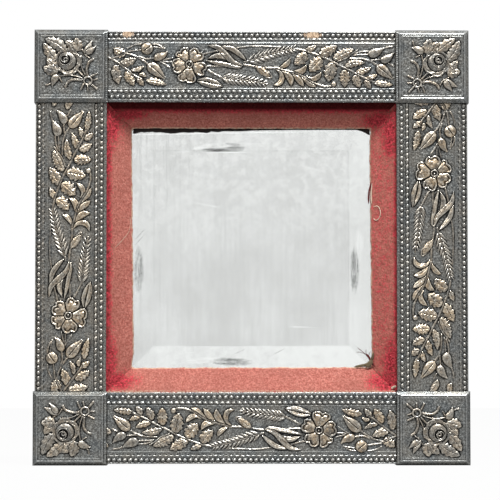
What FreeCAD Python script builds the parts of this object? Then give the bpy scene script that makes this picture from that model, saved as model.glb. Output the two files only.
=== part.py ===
"""Wall mirror in a frame of stamped sheet metal over wood, with velvet slips and a bevelled glass.

The frame stands upright: X to the right, Z up, the front looks along -Y. The origin is the centre of
the backboard's outer face, which rests against the wall. A depth is measured from the wall forwards.
All sizes are in millimetres.
"""
import FreeCAD, Part
import Sketcher

import math
import os

SIZES = (
    # the frame as a whole
    ("frame_side", 380),        # outer width and height, over the corner caps
    ("rail_inset", 1.4),        # how far a rail stands back from the caps at the outer edge
    ("rail_wide", 61.8),        # face of a rail
    ("cap_step", 1),            # how far a corner cap reaches past the rails' inner edges
    ("core_thick", 22),         # thickness of the wooden rails
    ("block_proud", 4.6),       # how far the corner blocks stand in front of the rails
    ("lip_thick", 3.6),         # lip of the rail that holds the liner
    ("rebate_wide", 8),         # rebate behind that lip
    ("sheet_thick", 0.4),       # stamped sheet metal
    ("fold_wide", 6),           # sheet folded over the wood's back
    ("bevel", 3.2),             # sloping edge round a corner block's front
    # liner, glass and back
    ("liner_wide", 21.4),       # velvet seen between rail and glass
    ("liner_fall", 12.5),       # how far the velvet slopes back over that width
    ("velvet_thick", 1),
    ("lip_show", 0.6),          # flat of the velvet seen before its slope starts
    ("glass_bite", 4.7),        # glass held behind the liner on each side
    ("glass_thick", 5),
    ("glass_edge", 2),          # thickness left at the edge of the bevel
    ("glass_bevel", 24),        # width of the bevel
    ("silver_thick", 0.3),
    ("paper_thick", 0.3),
    ("board_thick", 5),
    ("board_overlap", 7),       # backboard lying on the rails' backs
    ("board_chamfer", 1),
    # joints and fasteners
    ("fit_gap", 0.3),           # loose fits of wood, glass and cloth
    ("pin_gap", 0.05),          # holes round tenons, nails, pins and screws
    ("tenon_long", 30),         # loose tenons between rails and blocks
    ("tenon_wide", 26),
    ("tenon_thick", 8),
    ("nail_wide", 1.6),         # square cut nails with flat heads
    ("nail_long", 17),
    ("nail_head_wide", 4),
    ("nail_head_thick", 0.7),
    ("nail_inset", 33),         # outer nails of a side, from the rail's end
    ("pin_wide", 1.3),          # square cut pins with hammered heads
    ("pin_long", 9),
    ("pin_head_wide", 3.2),
    ("pin_head_high", 0.7),
    ("pin_inset", 68),          # pins of a side, from the rail's end
    # hanger on the back of the top rail
    ("hanger_drop", 16.6),      # ring's axis below the top rail's outer edge
    ("plate_long", 40),
    ("plate_wide", 12),
    ("plate_thick", 1),
    ("screw_inset", 4.5),       # screws from the plate's ends
    ("screw_radius", 1.5),
    ("screw_long", 14),
    ("screw_head_radius", 2.8),
    ("screw_head_high", 1.8),
    ("screw_slot_wide", 0.8),
    ("screw_slot_deep", 0.8),
    ("ring_wire", 1.25),        # radius of the ring's wire
    ("ring_half", 9.25),        # half the ring's width, to the wire's middle
    ("ring_corner", 3),         # bend at the ends of the ring's straight bar
    ("ring_side", 3),           # straight sides below those bends
    ("bridge_gap", 0.15),       # running gap of the ring in the plate's bridge
    ("bridge_thick", 1),
    ("bridge_wide", 8),
    # stamped relief
    ("leaf_rise", 1.6),
    ("petal_rise", 2.3),
    ("stem_rise", 0.8),
    ("grain_rise", 1.1),
    ("border_wide", 1.2),       # flat fillets round a corner cap's field
    ("border_rise", 0.9),
    ("border_inset", 3.4),      # first fillet from the cap's outer edge
    ("border_pitch", 2.3),
    ("flower_top", 54.7),       # flower's distance from the middle of each rail
    ("flower_right", 64.3),
    ("flower_bottom", 58.4),
    ("flower_left", 60.1),
    ("overrun", 5),             # how far a cutting shape runs past what it cuts
)

# Places worked out from the sizes. Half widths are from the mirror's centre, depths from the wall.
PLACES = (
    ("cap_out", "sizes.frame_side / 2"),
    ("block_out", "places.cap_out - sizes.sheet_thick"),
    ("face_out", "places.cap_out - sizes.rail_inset"),
    ("rail_out", "places.face_out - sizes.sheet_thick"),
    ("rail_in", "places.face_out - sizes.rail_wide"),
    ("cap_in", "places.rail_in - sizes.cap_step"),
    ("block_in", "places.cap_in + sizes.sheet_thick"),
    ("core_in", "places.rail_in + sizes.sheet_thick"),
    ("rebate_out", "places.core_in + sizes.rebate_wide"),
    ("slip_out", "places.rebate_out - sizes.fit_gap"),
    ("board_out", "places.rebate_out + sizes.board_overlap"),
    ("knee", "places.rail_in - sizes.lip_show"),
    ("sight", "places.rail_in - sizes.liner_wide"),
    ("tip_in", "places.sight + sizes.velvet_thick"),
    ("glass_rebate", "places.sight + sizes.glass_bite"),
    ("glass_out", "places.glass_rebate - sizes.fit_gap"),
    ("back", "sizes.board_thick"),
    ("front", "places.back + sizes.core_thick"),
    ("lip_back", "places.front - sizes.lip_thick"),
    ("ground", "places.front + sizes.sheet_thick"),
    ("block_front", "places.front + sizes.block_proud"),
    ("cap_ground", "places.block_front + sizes.sheet_thick"),
    ("velvet_front", "places.lip_back - sizes.fit_gap"),
    ("slip_front", "places.velvet_front - sizes.velvet_thick"),
    ("sight_front", "places.velvet_front - sizes.liner_fall"),
    ("liner_slope", "sizes.liner_fall / (places.knee - places.sight)"),
    ("tip_front", "places.sight_front - sizes.velvet_thick * (1 - places.liner_slope)"),
    ("silver_back", "places.back + sizes.paper_thick"),
    ("glass_back", "places.silver_back + sizes.silver_thick"),
    ("glass_front", "places.glass_back + sizes.glass_thick"),
    ("bevel_drop", "sizes.glass_thick - sizes.glass_edge"),
    ("bevel_slope", "places.bevel_drop / sizes.glass_bevel"),
    ("ledge", "places.glass_back + sizes.glass_edge"
              " + (places.glass_out - places.sight) * places.bevel_slope + sizes.fit_gap"),
    ("tenon_middle", "(places.rebate_out + places.rail_out) / 2"),
    ("tenon_deep", "(places.back + places.front) / 2"),
    ("mortise_thick", "sizes.tenon_thick / 2 + sizes.pin_gap"),
    ("mortise_wide", "sizes.tenon_wide / 2 + sizes.pin_gap"),
    ("mortise_deep", "sizes.tenon_long / 2 + sizes.fit_gap"),
    ("nail_hole", "sizes.nail_wide / 2 + sizes.pin_gap"),
    ("pin_hole", "sizes.pin_wide / 2 + sizes.pin_gap"),
    ("screw_hole", "sizes.screw_radius + sizes.pin_gap"),
    ("nail_line", "(places.rebate_out + places.board_out) / 2"),
    ("nail_reach", "places.block_in - sizes.nail_inset"),
    ("pin_reach", "places.block_in - sizes.pin_inset"),
    ("rail_pin_line", "places.face_out - sizes.fold_wide / 2"),
    ("cap_pin_line", "places.cap_out - sizes.fold_wide / 2"),
    ("block_middle", "(places.block_in + places.block_out) / 2"),
    ("fold_back", "places.back - sizes.sheet_thick"),
    ("hanger_high", "places.face_out - sizes.hanger_drop"),
    ("screw_reach", "sizes.plate_long / 2 - sizes.screw_inset"),
    ("plate_front", "places.back - sizes.plate_thick"),
    ("ring_deep", "places.plate_front - sizes.ring_wire - sizes.bridge_gap"),
    ("bridge_inner", "sizes.ring_wire + sizes.bridge_gap"),
    ("bridge_outer", "places.bridge_inner + sizes.bridge_thick"),
)

SIDES = (("top", 0), ("right", 90), ("bottom", 180), ("left", 270))
CORNERS = (("top_right", 0), ("bottom_right", 90), ("bottom_left", 180), ("top_left", 270))

# Mouldings along a rail's face: middle from the outer edge, half width and rise, as shares of the
# face's width. Bead rows are wider and fillets narrower.
RIDGE_SHARES = (
    (0.048, 0.030, 0.026),
    (0.117, 0.026, 0.018),
    (0.156, 0.010, 0.012),
    (0.812, 0.010, 0.012),
    (0.860, 0.029, 0.024),
    (0.931, 0.026, 0.018),
    (0.980, 0.012, 0.010),
)
RIDGE_TOP_SHARE = 0.45          # flat top of a moulding, as a share of its width
FIELD_SHARE = 0.4780            # middle of the ornament's field, from the outer edge

# The rail's ornament as it is seen on the top rail, in pixels of the reference picture: a flower's
# middle and the field's middle are its origin, and a rail's face is FACE_PIXELS wide.
FACE_PIXELS = 70.9
DIE_ORIGIN_PIXELS = (189.2, 64.9)
# base x and y, tip x and y, width
LEAF_PIXELS = (
    (124.6, 53.4, 114.6, 47.6, 8), (121.3, 63.4, 135.6, 58.6, 8), (115.5, 64.8, 118.4, 84, 9),
    (125.6, 71.5, 133.7, 85.4, 9), (130.8, 69.6, 143.8, 66.3, 5), (137.5, 76.3, 143.3, 85.4, 6),
    (146.1, 80.2, 165.8, 84.5, 7), (196.9, 79.7, 222.7, 85.4, 6), (256, 66, 271.8, 76.5, 6),
    (279.1, 67.3, 290, 59.1, 5), (290.8, 70.7, 305.8, 65.4, 5), (308.3, 76.5, 321.4, 74.1, 5),
    (276, 70, 281.5, 82, 5), (281.1, 71.7, 293.7, 83.3, 6), (290.8, 71.7, 304.4, 85.3, 6),
    (300.5, 75.6, 316, 86.3, 5), (306.3, 47.9, 317, 45.5, 6), (321.8, 54.7, 337.4, 45.5, 9),
    (335.4, 59.1, 354.4, 48.9, 9), (348.1, 65.9, 365.5, 62.5, 7), (356.8, 71.2, 371.8, 67.3, 6),
    (368.9, 77.5, 377.7, 74.6, 5), (305.8, 51.8, 294.9, 63.9, 11), (321.8, 57.6, 310.2, 70.7, 12),
    (331.6, 62, 329.1, 80.9, 12), (344.7, 69.3, 345.6, 86.3, 9), (355.3, 74.6, 360.7, 86.7, 7),
    (374.3, 81.9, 393.7, 85.3, 5.5), (394, 76, 408, 84, 6), (392, 66, 408, 60, 7),
)
# lily petals, buds with their points
PETAL_PIXELS = (
    (230, 56.5, 208.4, 45.2, 6), (242.8, 64.8, 226, 55, 5), (245.7, 59.1, 219.8, 46.2, 5),
    (243.8, 64.8, 206.4, 60.5, 5), (232.3, 61.5, 208.4, 57.7, 5),
    (153, 58.5, 167.2, 51, 8), (148.1, 63.9, 164.8, 78.2, 12), (369.4, 51.8, 393.7, 46.9, 9),
    (382.5, 59.1, 394.7, 52.8, 7), (378.2, 65.4, 393.7, 78, 11),
)
# middle x and y, half length, half width, turn
DOME_PIXELS = (
    (182, 53.6, 6.6, 5.8, 124), (196.4, 54.3, 6.6, 5.8, 53), (200.7, 68.7, 6.6, 5.8, -22),
    (186.8, 75.6, 6.6, 6.4, 258), (177.6, 66.3, 6.6, 5.8, 192), (146.8, 48.1, 5.9, 5.9, 0),
    (333.5, 83.8, 2.4, 2.4, 0),
)
BOSS_PIXELS = (189.2, 63.9, 3.8, 3.8, 0)
STEM_PIXELS = (
    ((109.8, 58.4), (126, 68.7), (137.5, 76.8)),
    ((124.1, 53.1), (138.5, 57.7), (148.1, 64.8)),
    ((141.4, 58.1), (154, 57.7)),
    ((203.6, 53.4), (217.9, 50)), ((207.4, 65.8), (228.4, 65.3)),
    ((206.9, 69.6), (222.7, 77.8)),
    ((244.7, 64.8), (259.7, 67.3), (278.2, 67.8)),
    ((292.7, 47.9), (314.1, 52.8), (333.5, 61), (351, 69.8), (374.3, 81.4)),
    ((351, 58.1), (366, 58.6), (379.1, 65.4)), ((372.3, 59.6), (383, 58.1)), ((355.8, 52.4), (370, 51.6)),
)
STEM_WIDE_PIXELS = 2.2
# stalks of the wheat from first grain to tip
WHEAT_PIXELS = (((222.7, 77.8), (268, 83)), ((250, 60), (296, 46.5)))
GRAIN_PIXELS = (7.6, 3.4)       # length and width of a grain
GRAIN_PITCH_PIXELS = 7.2        # about one pair of grains to each of these along a stalk

# The corner's ornament in pixels of the same picture, as it is seen on the top left corner.
CORNER_ORIGIN_PIXELS = (71.6, 66)
CORNER_LEAF_PIXELS = (
    (55.8, 61, 44.2, 43.5, 9), (66, 49.5, 46, 39, 9), (72, 50, 74.5, 38, 11), (58, 69, 45, 68, 10),
    (59, 77, 52, 86.5, 7), (85, 53, 96.8, 46, 7), (79, 71, 87, 80.5, 4),
    (88, 75, 93.5, 59, 3.5), (84, 80.5, 66.5, 86, 4),
)
CORNER_STEM_PIXELS = (
    ((85, 54), (93, 40)), ((62, 76), (85, 81)), ((90, 83), (97, 89.5)), ((84, 84), (81.5, 90)),
    ((90, 80), (97, 74.5)),
)
CORNER_ROSE_PIXELS = (68.5, 61.5)
ROSE_PIXELS = 11.9              # radius of the open rose
ROSE_PETALS = 5
# petals and bud, as shares of that radius: distance of a petal's middle, half length, half width
ROSE_SHARES = (0.62, 0.46, 0.38)
ROSE_BUD_SHARE = 0.42
CORNER_TIE_PIXELS = (88.6, 81.5, 4.6, 4.6, 0)

# A leaf's side corners, along its length, and how far a dome's flat top is drawn in.
LEAF_SHARES = (0.3, 0.68)
DOME_SHARE = 0.55
DOME_SIDES = 6
GRAIN_TURN = 38                 # degrees between a grain and its stalk
BEND_SHARE = 0.4143             # corner of an eight-sided bend, as a share of its radius
WIRE_SIDES = 8                  # flats round the ring's bent wire
BEND_STEPS = 3                  # straight runs in each of the ring's bends
LOOP_STEPS = 14                 # straight runs in the ring's half circle

RIGHT_ANGLE = 90
UP = FreeCAD.Vector(0, 0, 1)
ACROSS = FreeCAD.Vector(1, 0, 0)
WALL_AXIS = FreeCAD.Vector(0, 1, 0)


def make_sheet(doc):
    """Spreadsheet of the driving sizes, one aliased row each."""
    sheet = doc.addObject("Spreadsheet::Sheet", "sizes")
    for row, (alias, value) in enumerate(SIZES, 1):
        sheet.set(f"A{row}", alias)
        sheet.set(f"B{row}", str(value))
        sheet.setAlias(f"B{row}", alias)
    doc.recompute()
    return sheet


def make_places(doc):
    """Derived half widths and depths, each bound to the driving sizes."""
    places = doc.addObject("App::VarSet", "places")
    for name, text in PLACES:
        places.addProperty("App::PropertyFloat", name, "Places", "")
        places.setExpression(name, text)
        doc.recompute()
    return places


def plane(body, role):
    """One of the body's own origin planes."""
    return next(item for item in body.Origin.OriginFeatures if item.Role == role)


def new_body(doc, label):
    """Empty body for one piece."""
    body = doc.addObject("PartDesign::Body", label)
    body.Label = label
    return body


def new_sketch(body, role, name, offset):
    """Sketch on one of the body's planes, moved along the plane's normal by an expression."""
    sketch = body.newObject("Sketcher::SketchObject", name)
    sketch.AttachmentSupport = [(plane(body, role), "")]
    sketch.MapMode = "FlatFace"
    if offset:
        sketch.setExpression("AttachmentOffset.Base.z", offset)
    return sketch


def place_point(sketch, geometry, point, start, texts):
    """Dimension a point from the sketch's origin by two expressions."""
    for kind, value, text in zip(("DistanceX", "DistanceY"), start, texts):
        mark = sketch.addConstraint(Sketcher.Constraint(kind, -1, 1, geometry, point, value))
        sketch.setExpression(f"Constraints[{mark}]", text)


def outlines(body, role, name, loops, offset=None):
    """Closed outlines of straight lines; each corner is a pair of expressions."""
    sketch = new_sketch(body, role, name, offset)
    for place, corners in enumerate(loops):
        count = len(corners)
        middle = FreeCAD.Vector(math.pi * place, 0, 0)
        starts = [middle + FreeCAD.Vector(*compass(2 * math.pi * index / count), 0) for index in range(count)]
        lines = []
        for index in range(count):
            side = Part.LineSegment(starts[index], starts[(index + 1) % count])
            lines.append(sketch.addGeometry(side, False))
        for index in range(count):
            joint = Sketcher.Constraint("Coincident", lines[index], 2, lines[(index + 1) % count], 1)
            sketch.addConstraint(joint)
        for line, start, texts in zip(lines, starts, corners):
            place_point(sketch, line, 1, (start.x, start.y), texts)
    return sketch


def compass(turn):
    """Place on a circle of radius one."""
    return math.cos(turn), math.sin(turn)


def outline(body, role, name, corners, offset=None):
    """One closed outline of straight lines."""
    return outlines(body, role, name, [corners], offset)


def rectangle(middle, half):
    """Corners of a rectangle round a middle, both given as pairs of expressions."""
    (across, high), (wide, tall) = middle, half
    return [(f"{across} {one} {wide}", f"{high} {two} {tall}") for one, two in ("--", "+-", "++", "-+")]


def square_holes(body, name, spots, half, offset=None):
    """Sketch of equal upright squares on the body's front plane."""
    return outlines(body, "XZ_Plane", name, [rectangle(spot, (half, half)) for spot in spots], offset)


def circles(body, role, name, centres, radius, offset=None):
    """Circles of one radius round centres given as pairs of expressions."""
    sketch = new_sketch(body, role, name, offset)
    for index, texts in enumerate(centres):
        start = (index * math.pi, 0)
        ring = Part.Circle(FreeCAD.Vector(*start, 0), UP, 1)
        number = sketch.addGeometry(ring, False)
        place_point(sketch, number, 3, start, texts)
        mark = sketch.addConstraint(Sketcher.Constraint("Radius", number, 1))
        sketch.setExpression(f"Constraints[{mark}]", radius)
    return sketch


def square(low, high):
    """Corners of an upright square between two half widths."""
    return ((low, low), (high, low), (high, high), (low, high))


def pad(body, sketch, length, midplane=False):
    """Pad a sketch by an expression."""
    feature = body.newObject("PartDesign::Pad", f"{sketch.Name}_pad")
    feature.Profile = sketch
    feature.setExpression("Length", length)
    feature.Midplane = midplane
    return feature


def pocket(body, sketch, depth=None, reverse=False, midplane=False):
    """Pocket a sketch to a depth, or right through when no depth is given."""
    before = body.Shape.Volume
    feature = body.newObject("PartDesign::Pocket", f"{sketch.Name}_pocket")
    feature.Profile = sketch
    feature.Reversed = reverse
    feature.Midplane = midplane
    if depth:
        feature.setExpression("Length", depth)
    else:
        feature.Type = "ThroughAll"
    body.Document.recompute()
    if not body.Shape.Volume < before:
        raise ValueError(f"{feature.Name} in {body.Label} cuts nothing")
    return feature


def mirror(body, features, role="YZ_Plane"):
    """Mirror features of a body at one of its planes."""
    feature = body.newObject("PartDesign::Mirrored", f"{features[0].Name}_mirror")
    feature.Originals = features
    feature.MirrorPlane = (plane(body, role), [""])
    body.Tip = feature
    body.Document.recompute()
    return feature


def four_times(body, cut, sketch):
    """Repeat a cut on the four sides of a body, about the normal of one of its sketches."""
    feature = body.newObject("PartDesign::PolarPattern", f"{cut.Name}_sides")
    feature.Originals = [cut]
    feature.Axis = (sketch, ["N_Axis"])
    feature.Angle = 4 * RIGHT_ANGLE
    feature.Occurrences = len(SIDES)
    body.Tip = feature
    body.Document.recompute()
    return feature


def chamfer(body, size, at_back=False):
    """Chamfer the edges of the face furthest to the front, or to the back."""
    body.Document.recompute()
    before = body.Tip
    faces = before.Shape.Faces
    order = sorted(range(len(faces)), key=lambda index: faces[index].CenterOfMass.y, reverse=at_back)
    feature = body.newObject("PartDesign::Chamfer", "chamfer")
    feature.Base = (before, [f"Face{order[0] + 1}"])
    feature.setExpression("Size", size)
    body.Tip = feature
    body.Document.recompute()
    return feature


def turned(angle):
    """Placement turned about the wall's axis, from the top to another side."""
    return FreeCAD.Placement(FreeCAD.Vector(), FreeCAD.Rotation(WALL_AXIS, angle))


def section(body, name, corners):
    """Section across the top side; each corner is a depth and a height."""
    return outline(body, "YZ_Plane", name, [(f"-({deep})", high) for deep, high in corners])


def rail_core(doc, side, angle):
    """Wooden rail: a lipped section between two corner blocks, mortised, and holed for nails and pins."""
    body = new_body(doc, f"rail_core_{side}")
    corners = (
        ("places.back", "places.rebate_out"), ("places.lip_back", "places.rebate_out"),
        ("places.lip_back", "places.core_in"), ("places.front", "places.core_in"),
        ("places.front", "places.rail_out"), ("places.back", "places.rail_out"),
    )
    pad(body, section(body, "rail", corners), "2 * places.block_in", True)
    doc.recompute()
    end = rectangle(("-places.tenon_deep", "places.tenon_middle"), ("places.mortise_thick", "places.mortise_wide"))
    mortise = outline(body, "YZ_Plane", "mortise", end, "places.block_in")
    mirror(body, [pocket(body, mortise, "places.mortise_deep")])
    nails = [(spot, "places.nail_line") for spot in ("-places.nail_reach", "0", "places.nail_reach")]
    holes = square_holes(body, "nail_holes", nails, "places.nail_hole", "places.back")
    pocket(body, holes, "sizes.nail_long - sizes.board_thick + sizes.fit_gap", True)
    pins = [(f"{sign}places.pin_reach", "places.rail_pin_line") for sign in "+-"]
    holes = square_holes(body, "pin_holes", pins, "places.pin_hole", "places.back")
    pocket(body, holes, "sizes.pin_long + sizes.fit_gap", True)
    if side == "top":
        screws = [(f"{sign}places.screw_reach", "places.hanger_high") for sign in "+-"]
        holes = circles(body, "XZ_Plane", "screw_holes", screws, "places.screw_hole", "places.back")
        pocket(body, holes, "sizes.screw_long + sizes.fit_gap", True)
    body.Placement = turned(angle)
    return body


def corner_block(doc, corner, angle):
    """Wooden corner block: bevelled front, two mortises, and the liner's rebate through its inner corner."""
    body = new_body(doc, f"corner_block_{corner}")
    faces = square("places.block_in", "places.block_out")
    pad(body, outline(body, "XZ_Plane", "block", faces, "places.back"), "places.block_front - places.back")
    chamfer(body, "sizes.bevel")
    room = square("places.block_in - sizes.overrun", "places.rebate_out")
    rebate = outline(body, "XZ_Plane", "rebate", room, "places.back")
    pocket(body, rebate, "places.lip_back - places.back", True)
    side = rectangle(("-places.tenon_deep", "places.tenon_middle"), ("places.mortise_thick", "places.mortise_wide"))
    mortise = outline(body, "YZ_Plane", "side_mortise", side, "places.block_in")
    pocket(body, mortise, "places.mortise_deep", True)
    under = rectangle(("places.tenon_middle", "-places.tenon_deep"), ("places.mortise_wide", "places.mortise_thick"))
    mortise = outline(body, "XY_Plane", "under_mortise", under, "places.block_in")
    pocket(body, mortise, "places.mortise_deep", True)
    pins = (("places.block_middle", "places.cap_pin_line"), ("places.cap_pin_line", "places.block_middle"))
    holes = square_holes(body, "pin_holes", pins, "places.pin_hole", "places.back")
    pocket(body, holes, "sizes.pin_long + sizes.fit_gap", True)
    body.Placement = turned(angle)
    return body


def mitred_bar(doc, label, corners, angle):
    """Bar of one section along the top side, mitred at both ends and turned to its side."""
    body = new_body(doc, label)
    pad(body, section(body, "bar", corners), "2 * places.slip_out", True)
    doc.recompute()
    near = "places.sight - sizes.overrun"
    far = "places.slip_out + sizes.overrun"
    wedge = outline(body, "XZ_Plane", "mitre", ((near, near), (far, near), (far, far)))
    mirror(body, [pocket(body, wedge, None, True)])
    body.Placement = turned(angle)
    return body


def liner_slip(doc, side, angle):
    """Wedge of wood under the velvet, rebated at the back for the glass."""
    corners = (
        ("places.back", "places.slip_out"), ("places.slip_front", "places.slip_out"),
        ("places.slip_front", "places.knee"), ("places.tip_front", "places.tip_in"),
        ("places.ledge", "places.tip_in"), ("places.ledge", "places.glass_rebate"),
        ("places.back", "places.glass_rebate"),
    )
    return mitred_bar(doc, f"liner_slip_{side}", corners, angle)


def liner_velvet(doc, side, angle):
    """Velvet glued over the slip's front and round its sight edge."""
    corners = (
        ("places.velvet_front", "places.slip_out"), ("places.velvet_front", "places.knee"),
        ("places.sight_front", "places.sight"), ("places.ledge", "places.sight"),
        ("places.ledge", "places.tip_in"), ("places.tip_front", "places.tip_in"),
        ("places.slip_front", "places.knee"), ("places.slip_front", "places.slip_out"),
    )
    return mitred_bar(doc, f"liner_velvet_{side}", corners, angle)


def mirror_glass(doc):
    """Square plate whose front is bevelled all round."""
    body = new_body(doc, "mirror_glass")
    faces = square("-places.glass_out", "places.glass_out")
    plate = outline(body, "XZ_Plane", "plate", faces, "places.glass_back")
    pad(body, plate, "sizes.glass_thick")
    doc.recompute()
    wedge = (
        ("places.glass_front + places.bevel_slope * sizes.overrun",
         "places.glass_out - sizes.glass_bevel - sizes.overrun"),
        ("places.glass_front + places.bevel_slope * sizes.overrun", "places.glass_out + sizes.overrun"),
        ("places.glass_back + sizes.glass_edge - places.bevel_slope * sizes.overrun",
         "places.glass_out + sizes.overrun"),
    )
    bevel = pocket(body, section(body, "bevel", wedge), "4 * places.glass_out", False, True)
    four_times(body, bevel, plate)
    return body


def flat_square(doc, label, depth, thick):
    """Thin square layer of the glass's size."""
    body = new_body(doc, label)
    faces = square("-places.glass_out", "places.glass_out")
    pad(body, outline(body, "XZ_Plane", "layer", faces, depth), thick)
    return body


def backboard(doc):
    """Board over the liner and the rails' inner backs, with sunk nail holes."""
    body = new_body(doc, "backboard")
    faces = square("-places.board_out", "places.board_out")
    pad(body, outline(body, "XZ_Plane", "board", faces), "sizes.board_thick")
    chamfer(body, "sizes.board_chamfer", True)
    spots = []
    for along in ("-places.nail_reach", "0", "places.nail_reach"):
        for line in ("-places.nail_line", "places.nail_line"):
            spots.append((along, line))
            spots.append((line, along))
    shanks = square_holes(body, "nail_holes", spots, "places.nail_hole")
    pocket(body, shanks, "sizes.board_thick + sizes.overrun", True)
    heads = square_holes(body, "nail_seats", spots, "(sizes.nail_head_wide / 2 + sizes.pin_gap)")
    pocket(body, heads, "sizes.nail_head_thick", True)
    return body


def square_fastener(doc, name, seat, shank, head):
    """Cut nail with a square shank in front of its seat and a square head behind it."""
    body = new_body(doc, name)
    for part, (wide, long), start in (("shank", shank, seat), ("head", head, f"{seat} - {head[1]}")):
        faces = square(f"-{wide} / 2", f"{wide} / 2")
        pad(body, outline(body, "XZ_Plane", f"{name}_{part}", faces, start), long)
        doc.recompute()
    return body


def spun(doc, name, corners):
    """Fastener turned about the wall's axis; each corner is a radius and a depth."""
    body = new_body(doc, name)
    sketch = outline(body, "YZ_Plane", "profile", [(f"-({deep})", radius) for radius, deep in corners])
    feature = body.newObject("PartDesign::Revolution", "turning")
    feature.Profile = sketch
    feature.ReferenceAxis = (sketch, ["H_Axis"])
    doc.recompute()
    return body


def domed(radius, head_radius, head_high, length, seat):
    """Profile of a round fastener whose head behind the seat slopes to a smaller flat."""
    return (
        ("0", f"{seat} - {head_high}"), (f"{head_radius} / 2", f"{seat} - {head_high}"), (head_radius, seat),
        (radius, seat), (radius, f"{seat} + {length}"), ("0", f"{seat} + {length}"),
    )


def feature(doc, label, shape):
    """Piece whose shape is made with the Part functions."""
    item = doc.addObject("Part::Feature", label)
    item.Label = label
    item.Shape = shape
    return item


def copies(shape, spots):
    """Copies of one shape at places on the back."""
    result = []
    for across, high in spots:
        one = shape.copy()
        one.translate(FreeCAD.Vector(across, 0, high))
        result.append(one)
    return result


def spots_round(row, line):
    """A row of spots along each of the four sides, at one half width."""
    spots = []
    for along in row:
        for side in (-line, line):
            spots.append((along, side))
            spots.append((side, along))
    return spots


def frame_tenons(doc, sizes, places):
    """Loose tenon through each of the eight joints between rails and blocks."""
    solids = []
    half_long, half_wide = sizes.tenon_long / 2, sizes.tenon_wide / 2
    half_thick = sizes.tenon_thick / 2
    for _, angle in SIDES:
        for end in (-places.block_in, places.block_in):
            tenon = deep_box(end - half_long, end + half_long, places.tenon_middle - half_wide,
                             places.tenon_middle + half_wide, places.tenon_deep - half_thick,
                             places.tenon_deep + half_thick)
            tenon.Placement = turned(angle) * tenon.Placement
            solids.append(tenon)
    return feature(doc, "frame_tenons", Part.Compound(solids))


def box_between(low, high):
    """Box between two corners."""
    size = high - low
    return Part.makeBox(size.x, size.y, size.z, low)


def deep_box(left, right, bottom, top, near, far):
    """Box between half widths and heights, from one depth to another."""
    return box_between(FreeCAD.Vector(left, -far, bottom), FreeCAD.Vector(right, -near, top))


def polyhedron(points, faces):
    """Solid with flat faces, each a list of point numbers."""
    panels = []
    for numbers in faces:
        ring = [points[number] for number in numbers]
        panels.append(Part.Face(Part.makePolygon(ring + ring[:1])))
    solid = Part.Solid(Part.Shell(panels))
    if solid.Volume < 0:
        solid.reverse()
    return solid


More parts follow.
